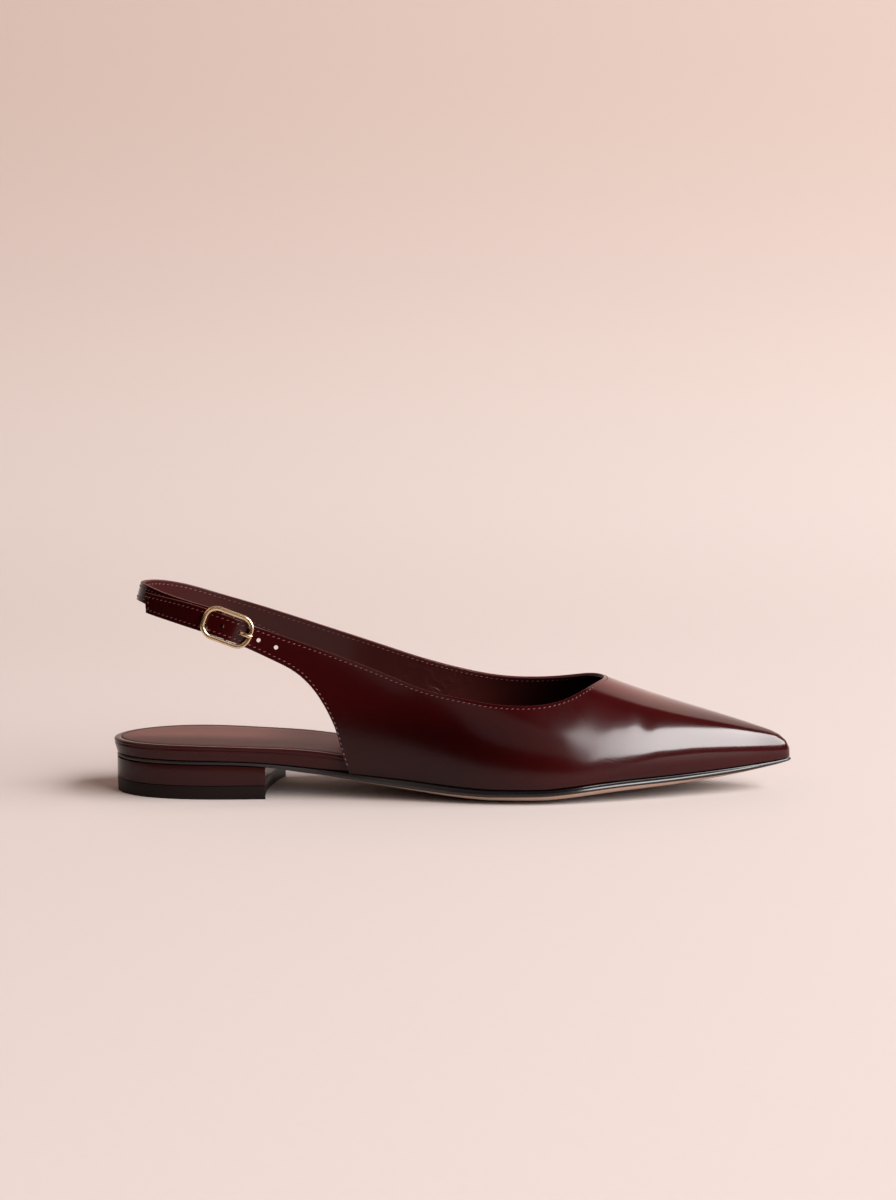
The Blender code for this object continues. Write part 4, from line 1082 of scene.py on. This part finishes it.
def upper_grid():
    """Outside of the upper, from the strap's tip round the toe to the end of the sling."""
    strap, lifts = lateral_strips()
    vamp_lateral = vamp_side(-1, LATERAL_TOP)
    vamp_medial = vamp_side(1, edge_curve(TOPLINE_MEDIAL))[::-1][1:]
    grid = np.array(strap + vamp_lateral + vamp_medial + medial_strips() + sling_strips())
    raised = np.zeros(grid.shape[:2])
    raised[:len(lifts)] = np.array(lifts)[:, None]
    for j in range(len(strap), len(strap) + len(vamp_lateral)):
        for i in range(ROWS + 1):
            raised[j, i] = -crease_depth(grid[j, i])
    return grid + normals(grid) * raised[..., None]


def hole_spot(grid, top_x):
    """Middle of a hole on the outside of the strap, and the way out of the leather there."""
    middle = grid[:STRAP_COLUMNS, ROWS // 2]
    j = int(np.abs(middle[:, 0] - (top_x - TOP_ABOVE_HOLE)).argmin())
    return middle[j], normals(grid)[j, ROWS // 2]


def hole_cutters(grid):
    """Pins that punch the strap, aimed square to the leather."""
    cutters = []
    for top_x in hole_places():
        spot, way = hole_spot(grid, top_x)
        centre = spot - way * UPPER_WALL / 2 - TO_FRAME
        clear_selection()
        bpy.ops.mesh.primitive_cylinder_add(vertices=HOLE_SIDES, radius=HOLE_WIDTH / 2,
                                            depth=HOLE_PIN, location=centre)
        pin = bpy.context.object
        pin.rotation_mode = "QUATERNION"
        pin.rotation_quaternion = Vector(way).to_track_quat("Z", "Y")
        cutters.append(pin)
    clear_selection()
    for pin in cutters:
        pin.select_set(True)
    bpy.context.view_layer.objects.active = cutters[0]
    bpy.ops.object.join()
    return bpy.context.object


def upper_leather(grid, outside, inside, edge):
    piece = sheet("upper_leather", grid[:, ::-1])
    for finish in (outside, inside, edge):
        piece.data.materials.append(finish)
    apply_modifier(piece, "SOLIDIFY", thickness=UPPER_WALL, offset=-1, use_even_offset=False,
                   material_offset=1, material_offset_rim=2)
    bevel(piece, EDGE_ROUND, EDGE_TURN)
    combine(piece, hole_cutters(grid), "DIFFERENCE")
    smooth(piece, SHARP_UPPER)
    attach(piece, "root")
    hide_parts("upper")


def stitch_mesh():
    """One stitch, along X, as points and faces."""
    clear_selection()
    bpy.ops.mesh.primitive_uv_sphere_add(segments=STITCH_SIDES, ring_count=STITCH_RINGS, radius=1,
                                         location=HERE)
    ball = bpy.context.object
    points = np.array([v.co for v in ball.data.vertices])
    turned = np.stack([points[:, 2], points[:, 1], -points[:, 0]], axis=1)
    faces = [list(face.vertices) for face in ball.data.polygons]
    bpy.data.objects.remove(ball, do_unlink=True)
    return turned * np.array(STITCH_SIZE), faces


def stitch_places(path, out):
    """Centres, ways and surface normals of stitches a pitch apart along a path."""
    run = run_along(path)
    spots = np.arange(STITCH_PITCH / 2, run[-1], STITCH_PITCH)
    centre = read_off(spots, run, path)
    ahead = read_off(spots + STITCH_PROBE, run, path)
    return centre, ahead - centre, read_off(spots, run, out)


def edge_path(grid, out, from_top):
    """Line of the stitches along the top or low edge of a grid, with its normals."""
    step = 1 if from_top else -1
    line = [read_off(STITCH_EDGE, run_along(column[::step]), column[::step]) for column in grid]
    return np.array(line), out[:, 0 if from_top else -1]


def stitches(grid, thread):
    """Rows of stitches along the edges, on both faces of the leather."""
    out = normals(grid)
    points, faces = stitch_mesh()
    foot = STRAP_COLUMNS
    medial_foot = STRAP_COLUMNS + 2 * VAMP_COLUMNS + 1
    runs = []
    inner = grid - out * UPPER_WALL
    for face, way in ((grid, out), (inner, -out)):
        runs.append(edge_path(face, way, True))
        runs.append(edge_path(face[:foot], way[:foot], False))
        runs.append(edge_path(face[medial_foot:], way[medial_foot:], False))
        inset = slice(TIP_COLUMN, -TIP_COLUMN)
        runs.append((face[TIP_COLUMN, inset], way[TIP_COLUMN, inset]))
    all_points, all_faces = [], []
    for line, normal in runs:
        for centre, ahead, up in zip(*stitch_places(line, normal)):
            ahead = ahead - up * ahead.dot(up)
            ahead = ahead / np.linalg.norm(ahead)
            side = np.cross(up, ahead)
            slant = ahead * math.cos(STITCH_SLANT) + side * math.sin(STITCH_SLANT)
            turn = np.stack([slant, np.cross(up, slant), up])
            first = len(all_points) * len(points)
            all_points.append(points @ turn + centre + up * STITCH_RISE)
            all_faces += [[first + n for n in face] for face in faces]
    mesh = bpy.data.meshes.new("stitching")
    places = np.concatenate(all_points) - TO_FRAME
    mesh.from_pydata([tuple(p) for p in places], [], all_faces)
    piece = add_object("stitching", mesh)
    tidy(piece)
    smooth(piece, SHARP_NEVER)
    settle(piece, thread, "upper_leather")


# Sole, insole and sock

def plate_grid(angles, profile, outline, bottom, top, seat):
    """Closed rings round the sections of a sole-like body, first point repeated at the end."""
    rings = []
    for inset, share in profile:
        lateral, medial = zip(*(offset_outline(outline(a) - inset, a) for a in angles))
        rings.append((share, lateral, medial))
    sections = []
    for k in range(len(angles)):
        section = []
        for lane in range(PLATE_LANES + 1):
            section.append(lane_point(rings[0], k, lane / PLATE_LANES, bottom))
        section += [edge_point(share, medial[k], bottom, top) for share, _, medial in rings[1:-1]]
        for lane in range(PLATE_LANES, -1, -1):
            section.append(lane_point(rings[-1], k, lane / PLATE_LANES, seat))
        section += [edge_point(share, lateral[k], bottom, top)
                    for share, lateral, _ in reversed(rings[1:-1])]
        sections.append(section + section[:1])
    return np.array(sections)


def lane_point(ring, k, across, height):
    _, lateral, medial = ring
    x = lateral[k][0] + (medial[k][0] - lateral[k][0]) * across
    y = lateral[k][1] + (medial[k][1] - lateral[k][1]) * across
    return (x, y, height(x, y))


def edge_point(share, place, bottom, top):
    x, y = place
    low = bottom(x, y)
    return (x, y, low + (top(x, y) - low) * share)


def plate(name, grid, finish, slot_name, node, cap=False, rounding=0, sharp=SHARP_REST):
    """A closed piece laid over its rings; cap closes its front end, rounding its edges."""
    piece = sheet(name, grid)
    if cap:
        cap_end(piece)
    tidy(piece)
    if rounding:
        bevel(piece, rounding, HEEL_TURN)
    smooth(piece, sharp)
    return settle(piece, finish, slot_name, node)


def outsole_outline(angle):
    waist = eased((unswing(angle) / SHOE_LENGTH - WAIST_START) / WAIST_SPAN)
    return -WALL_SPACE - HEEL_INSET + waist * (WALL_SPACE + HEEL_INSET + SOLE_PROUD)


# The sole's side from the bottom up, as insets and shares of its height: rounded tread edge,
# upright, polished bevel and upright
SOLE_PROFILE = ((0.9 * MM, 0), (0.35 * MM, 0.06), (0.16 * MM, 0.18), (0.05 * MM, 0.34),
                (0, 0.46), (0, 0.58), (0.02 * MM, 0.60), (0.20 * MM, 0.69), (0.22 * MM, 0.71),
                (0.24 * MM, 0.85), (0.32 * MM, 0.95), (0.9 * MM, 1))
# How much of the sole's edge is tan leather, under the black
Band = namedtuple("Band", "along share")
TAN_BAND = column(table_of(
    Band,
    (0.0, 0.05), (0.28, 0.07), (0.40, 0.12), (0.50, 0.24), (0.60, 0.36),
    (0.70, 0.40), (0.80, 0.36), (0.90, 0.22), (1.0, 0.0),
), "share", length=1)
TAN_MIDDLE = 0.5
TAN_STEEPNESS = 4
THINNEST_EDGE = MM / 10


def outsole(finish):
    angles = np.linspace(0, math.pi, PLATE_STATIONS + 1)
    grid = plate_grid(angles, SOLE_PROFILE, outsole_outline, sole_bottom, sole_top, sole_top)
    piece = plate("outsole_leather", grid, finish, "sole_leather", "outsole")
    mask = piece.data.attributes.new("tan", "FLOAT", "POINT")
    for place, vertex in zip(mask.data, piece.data.vertices):
        x, y, z = vertex.co.x + HALF_LENGTH, vertex.co.y, vertex.co.z
        low, high = sole_bottom(x, y), sole_top(x, y)
        share = (z - low) / max(high - low, THINNEST_EDGE)
        tan = TAN_MIDDLE + (TAN_BAND(x / SHOE_LENGTH) - share) * TAN_STEEPNESS
        place.value = float(np.clip(tan, 0, 1))


# The insole's side from the bottom up, as insets and shares of its height: tuck over the sole,
# plain band, crease and roll
INSOLE_PROFILE = ((1.6 * MM, 0), (1.15 * MM, 0.03), (1.0 * MM, 0.12), (0.72 * MM, 0.28),
                  (0.42 * MM, 0.45), (0.20 * MM, 0.60), (0.14 * MM, 0.70), (0.34 * MM, 0.735),
                  (0.36 * MM, 0.75), (0.08 * MM, 0.79), (0, 0.84), (0.03 * MM, 0.89),
                  (0.18 * MM, 0.94), (0.45 * MM, 0.98), (0.9 * MM, 1.0), (1.9 * MM, 1.0),
                  (2.5 * MM, 0.99), (2.8 * MM, 0.95), (2.95 * MM, 0.90))


def insole_outline(angle):
    toe = float(np.clip((unswing(angle) / SHOE_LENGTH - TOE_START) / (1 - TOE_START), 0, 1))
    return -WALL_SPACE - toe * TOE_EASE


def insole_bottom(x, y):
    return sole_top(x, y) + CLEARANCE


def covered_insole(finish):
    angles = np.linspace(0, math.pi, PLATE_STATIONS + 1)
    grid = plate_grid(angles, INSOLE_PROFILE, insole_outline, insole_bottom, insole_top,
                      sock_seat)
    plate("insole_cover", grid, finish, "upper_leather", "covered_insole")


# Share of SHOE_LENGTH at which the sock ends, and its side from the bottom up
SOCK_END = 0.86
SOCK_PROFILE = ((0.1 * MM, 0), (0, 0.3), (0, 0.7), (0.12 * MM, 0.9), (0.4 * MM, 1))


def sock_bottom(x, y):
    return sock_seat(x, y) + CLEARANCE


def sock_top(x, y):
    return sock_bottom(x, y) + SOCK_DEPTH


def sock(finish):
    angles = np.linspace(0, float(swing(SOCK_END * SHOE_LENGTH)), PLATE_STATIONS)
    grid = plate_grid(angles, SOCK_PROFILE, lambda angle: -WALL_SPACE - SOCK_INSET, sock_bottom,
                      sock_top, sock_top)
    plate("sock", grid, finish, "sock_leather", "insole_sock", cap=True)


# Heel

HEEL_STATIONS = 60
HEEL_LANES = 24
# Least turn in degrees of an edge that is rounded
HEEL_TURN = 50
# How soon towards the breast its hollow begins
HOLLOW_POWER = 6


def heel_grid(low, high, low_inset, high_inset):
    """Closed rings of a layer of the heel, with its hollow, skewed breast."""
    ends = [float(swing(front)) for front in (HEEL_LENGTH, HEEL_LENGTH + BREAST_SKEW)]
    sections = []
    for k in range(HEEL_STATIONS + 1):
        share = k / HEEL_STATIONS
        section = []
        for inset, height, lanes in ((low_inset, low, range(HEEL_LANES + 1)),
                                     (high_inset, high, range(HEEL_LANES, -1, -1))):
            lateral = offset_outline(-WALL_SPACE - inset, ends[0] * share)[0]
            medial = offset_outline(-WALL_SPACE - inset, ends[1] * share)[1]
            for lane in lanes:
                across = lane / HEEL_LANES
                x = lateral[0] + (medial[0] - lateral[0]) * across
                y = lateral[1] + (medial[1] - lateral[1]) * across
                x -= BREAST_HOLLOW * 4 * across * (1 - across) * share ** HOLLOW_POWER
                section.append((x, y, height(x, y)))
        sections.append(section + section[:1])
    return np.array(sections)


def heel(covering, rubber):
    lift = heel_grid(lambda x, y: 0, lambda x, y: TOP_LIFT_DEPTH, HEEL_INSET + LIFT_TAPER,
                     HEEL_INSET)
    plate("heel_lift", lift, rubber, "black_rubber", "top_lift", True, LIFT_ROUND, SHARP_HEEL)
    block = heel_grid(lambda x, y: TOP_LIFT_DEPTH + CLEARANCE,
                      lambda x, y: sole_bottom(x, y) - CLEARANCE, HEEL_INSET, HEEL_INSET)
    plate("heel_cover", block, covering, "heel_finish", "heel_block", True, BLOCK_ROUND,
          SHARP_HEEL)


# Buckle

WIRE_SIDES = 32
RING_FULLNESS = 3.6
FRAME_CORNER_STEPS = 16
BAR_SIDES = 16
# The bar's way down from the ring to under the strap: how far in, as a share of BAR_WIDTH, and
# its height as shares of the ring's and of the height under the strap
BarBend = namedtuple("BarBend", "inwards ring strap")
BAR_BENDS = table_of(
    BarBend,
    (0, 1, 0), (0.05, 0.5, 0), (0.15, 0, 0.3), (0.45, 0, 0.85), (0.9, 0, 1),
)
# The prong: its eye in degrees round the bar, and its bends as shares of PRONG_WIDTH
PRONG_HOLE = 1
PRONG_SPREAD = 1.45
PRONG_FULLNESS = 2.6
PRONG_SIDES = 20
PRONG_STEPS = 90
EYE_START = 40
EYE_TURN = 230
EYE_STEPS = 9
EYE_SLACK = 0.75
PRONG_BEFORE = 1.6
PRONG_THROUGH = 0.8
PRONG_AFTER = 1.1
PRONG_SAG = 0.15
PRONG_NOSE = 0.9
PRONG_NOD = 0.2


def wire(name, path, width, beside, closed=False, sides=WIRE_SIDES, fullness=2.0, spread=1.0):
    """A wire along a path; beside is a direction square to its start, and a fullness over 2
    flattens its four faces."""
    path = np.asarray(path)
    if closed:
        ahead = np.roll(path, -1, axis=0) - np.roll(path, 1, axis=0)
    else:
        ahead = np.gradient(path, axis=0)
    ahead /= np.linalg.norm(ahead, axis=1, keepdims=True)
    rings = []
    for centre, way in zip(path, ahead):
        beside = beside - way * beside.dot(way)
        beside = beside / np.linalg.norm(beside)
        third = np.cross(way, beside)
        ring = []
        for k in range(sides + 1):
            c, d = math.cos(math.tau * k / sides), math.sin(math.tau * k / sides)
            reach = width / 2 / (abs(c) ** fullness + abs(d) ** fullness) ** (1 / fullness)
            ring.append(centre + (beside * c * spread + third * d) * reach)
        rings.append(ring)
    if closed:
        rings.append(rings[0])
    else:
        rings.insert(0, [path[0]] * (sides + 1))
        rings.append([path[-1]] * (sides + 1))
    piece = sheet(name, np.array(rings))
    tidy(piece)
    return piece


def frame_heights(axes):
    """Height of the frame's middle line off the wall at its back and front ends."""
    heights = []
    for ahead in (-1, 1):
        turn = ahead * (FRAME_LENGTH - FRAME_CORNER) / 2
        along = float(strap_point(turn, 0, 0)[0])
        lift = float(LIFT(along + TOP_ABOVE_HOLE))
        heights.append(axes.read(strap_point(turn, 0, lift))[2] + CLEARANCE + WIRE_WIDTH / 2)
    return heights


def frame_off(heights, ahead):
    share = 0.5 + ahead / (FRAME_LENGTH - WIRE_WIDTH)
    return heights[0] + (heights[1] - heights[0]) * share


def buckle_frame(axes, heights, finish):
    half_length = (FRAME_LENGTH - WIRE_WIDTH) / 2
    half_height = (FRAME_HEIGHT - WIRE_WIDTH) / 2
    corner = FRAME_CORNER - WIRE_WIDTH / 2
    path = []
    for quarter, (ahead, across) in enumerate(((1, 1), (-1, 1), (-1, -1), (1, -1))):
        for k in range(FRAME_CORNER_STEPS + 1):
            angle = math.pi / 2 * (quarter + k / FRAME_CORNER_STEPS)
            a = ahead * (half_length - corner) + corner * math.cos(angle)
            c = across * (half_height - corner) + corner * math.sin(angle)
            path.append(axes.place(a, c, frame_off(heights, a)))
    frame_wire = wire("buckle_ring", path, WIRE_WIDTH, axes.off, closed=True,
                      fullness=RING_FULLNESS)
    rail = frame_off(heights, BAR_AHEAD)
    half = [(half_height - BAR_WIDTH * bend.inwards, rail * bend.ring + BAR_OFF * bend.strap)
            for bend in BAR_BENDS]
    line = half + [(-c, w) for c, w in reversed(half)]
    bar = wire("buckle_bar", [axes.place(BAR_AHEAD, c, w) for c, w in line], BAR_WIDTH,
               axes.ahead, sides=BAR_SIDES)
    combine(frame_wire, bar, "UNION")
    smooth(frame_wire, SHARP_REST)
    settle(frame_wire, finish, "gold_metal", "buckle_frame")


def prong(axes, heights, grid, finish):
    """Pin that turns on the bar, comes up through its hole and rests on the frame."""
    spot, outwards = hole_spot(grid, hole_places()[PRONG_HOLE])
    over = axes.read(spot)
    under = axes.read(spot - outwards * UPPER_WALL)
    loop = (BAR_WIDTH + PRONG_WIDTH) / 2 + PRONG_PLAY
    path = []
    for k in range(EYE_STEPS + 1):
        turn = math.radians(EYE_START + EYE_TURN * k / EYE_STEPS)
        path.append((BAR_AHEAD + loop * math.cos(turn), 0, BAR_OFF + loop * math.sin(turn)))
    end = (FRAME_LENGTH - WIRE_WIDTH) / 2
    top = heights[1] + (WIRE_WIDTH + PRONG_WIDTH) / 2 + PRONG_PLAY
    way = (over - under) / np.linalg.norm(over - under)
    low = under - way * PRONG_WIDTH
    high = over + way * PRONG_WIDTH * PRONG_THROUGH
    across = high[1]
    path += [(low[0] - PRONG_WIDTH * PRONG_BEFORE, (over[1] + under[1]) / 2,
              BAR_OFF - loop * EYE_SLACK),
             tuple(low), tuple(high),
             (high[0] + PRONG_WIDTH * PRONG_AFTER, across, top - PRONG_WIDTH * PRONG_SAG),
             (end, across, top),
             (end + PRONG_WIDTH * PRONG_NOSE, across, top - PRONG_WIDTH * PRONG_NOD)]
    run = run_along(path)
    curves = [Smooth(run, [p[k] for p in path]) for k in range(3)]
    fine = [axes.place(*(float(curve(at)) for curve in curves))
            for at in np.linspace(0, run[-1], PRONG_STEPS)]
    piece = wire("buckle_pin", fine, PRONG_WIDTH, axes.across, sides=PRONG_SIDES,
                 fullness=PRONG_FULLNESS, spread=PRONG_SPREAD)
    smooth(piece, SHARP_REST)
    settle(piece, finish, "gold_metal", "buckle_prong")


# Stage

PAPER_SIDE = 3.0
PAPER_FRONT = -0.49
PAPER_TURN = 0.40
PAPER_CURVE = 1.9
PAPER_TOP = 1.4
PAPER_STEPS = 40
PAPER_COLUMNS = 9
# Paper colours with painted light: the floor pales from front to back, and the wall is warmer in
# tone and darker with painted shade
FLOOR_NEAR = (0.505, 0.447, 0.428)
FLOOR_FAR = (0.575, 0.515, 0.488)
WALL_PAPER_TONE_AND_SHADE = (0.485, 0.385, 0.346)
PAPER_PAINTED_LIGHT_RANGE = (-0.5, 0.9)
PAPER_WALL_PAINTED_SHADE_RANGE = (0.85, 1.85)
PAPER_SURFACE = Surface("paper", FLOOR_NEAR, 0.8, 0.5)
PAPER_FIBRE = Noise(260.0, 3.0)
PAPER_ROUGH = Relief(0.12, 0.4 * MM)


def paper_finish():
    """Pale paper with painted light: the floor pales towards the back, and the paper turns warmer
    and darker, with painted shade, where it leaves the floor.
    """
    finish = Finish(PAPER_SURFACE)
    # The floor's paling and the wall's darkening are painted light and shade; the wall's warmer
    # tone is its own
    floor = finish.mix(finish.ease(finish.part(1), *PAPER_PAINTED_LIGHT_RANGE), FLOOR_NEAR, FLOOR_FAR)
    back = finish.ease(finish.part(1) + finish.part(2), *PAPER_WALL_PAINTED_SHADE_RANGE)
    finish.set("Base Color", finish.mix(back, floor, WALL_PAPER_TONE_AND_SHADE))
    finish.set("Normal", finish.bump(finish.noise(PAPER_FIBRE), PAPER_ROUGH))
    return finish.material


def stage():
    """A sheet of pale paper that runs along the floor and curves up behind the shoe."""
    profile = [(PAPER_FRONT, 0.0), (PAPER_TURN, 0.0)]
    step = PAPER_CURVE / PAPER_STEPS
    for k in range(PAPER_STEPS):
        turn = math.pi / 2 * eased((k + 1 / 2) / PAPER_STEPS)
        y, z = profile[-1]
        profile.append((y + step * math.cos(turn), z + step * math.sin(turn)))
    profile.append((profile[-1][0], profile[-1][1] + PAPER_TOP))
    grid = np.array([[(x + HALF_LENGTH, y, z) for y, z in profile]
                     for x in np.linspace(-PAPER_SIDE, PAPER_SIDE, PAPER_COLUMNS)])
    paper = sheet("paper_sweep", grid)
    smooth(paper, SHARP_REST)
    paper.data.materials.append(paper_finish())


# Lamps, a row each: place and aim, width and height of the panel, power in watts and colour
Lamp = namedtuple("Lamp", "name place aim width height power colour")
LAMPS = (
    Lamp("side_window", (2.28, -1.82, 1.87), (0.08, -1.82, 1.87), 4.95, 2.46, 450.0,
         (1.0, 0.97, 0.96)),
    Lamp("room_wall", (0.6, -4.4, 2.05), (0.6, 0, 2.05), 3.2, 2.1, 11.0, (1.0, 0.88, 0.86)),
    Lamp("warm_fill", (-2.4, -0.6, 2.4), (0.0, 0.4, 0.2), 3.0, 2.0, 25.0, (1.0, 0.60, 0.42)),
)
ROOM_GLOW = 0.012
ROOM_COLOUR = (1.0, 0.9, 0.88, 1)


def light_up():
    for row in LAMPS:
        data = bpy.data.lights.new(row.name, "AREA")
        data.shape = "RECTANGLE"
        data.size = row.width
        data.size_y = row.height
        data.energy = row.power
        data.color = row.colour
        thing = add_object(row.name, data, row.place)
        thing.rotation_mode = "QUATERNION"
        way = Vector(row.place) - Vector(row.aim)
        thing.rotation_quaternion = way.to_track_quat("Z", "Y")
    world = bpy.data.worlds.new("room")
    bpy.context.scene.world = world
    world.use_nodes = True
    shade = world.node_tree.nodes["Background"]
    shade.inputs["Color"].default_value = ROOM_COLOUR
    shade.inputs["Strength"].default_value = ROOM_GLOW


CAMERA_PLACE = (-0.002, -1.0, 0.190)
# Turn of a camera that looks level, in degrees, and the dip from there
LEVEL = 90
CAMERA_DIP = 6.57
CAMERA_LENS = 76.74
CAMERA_SENSOR = 36.0


def camera():
    """A metre from the middle of the shoe, a little above it and looking slightly down."""
    data = bpy.data.cameras.new("camera")
    data.lens = CAMERA_LENS
    data.sensor_width = CAMERA_SENSOR
    eye = add_object("camera", data, CAMERA_PLACE)
    eye.rotation_euler = (math.radians(LEVEL - CAMERA_DIP), 0, 0)
    bpy.context.scene.camera = eye
    bpy.context.scene.view_settings.view_transform = "Standard"


def dress_shoe():
    wine, lining, edge = polished_leather(), lining_leather(), folded_edge()
    gold = polished_gold()
    grid = upper_grid()
    upper_leather(grid, wine, lining, edge)
    stitches(grid, stitch_thread())
    outsole(sole_finish())
    covered_insole(rim_leather())
    sock(sock_leather())
    heel(heel_covering(), lift_rubber())
    axes = BuckleAxes()
    heights = frame_heights(axes)
    buckle_frame(axes, heights, gold)
    prong(axes, heights, grid, gold)
    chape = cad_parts["buckle_chape"]
    chape.data.materials.clear()
    chape.data.materials.append(wine)


dress_shoe()
stage()
light_up()
camera()
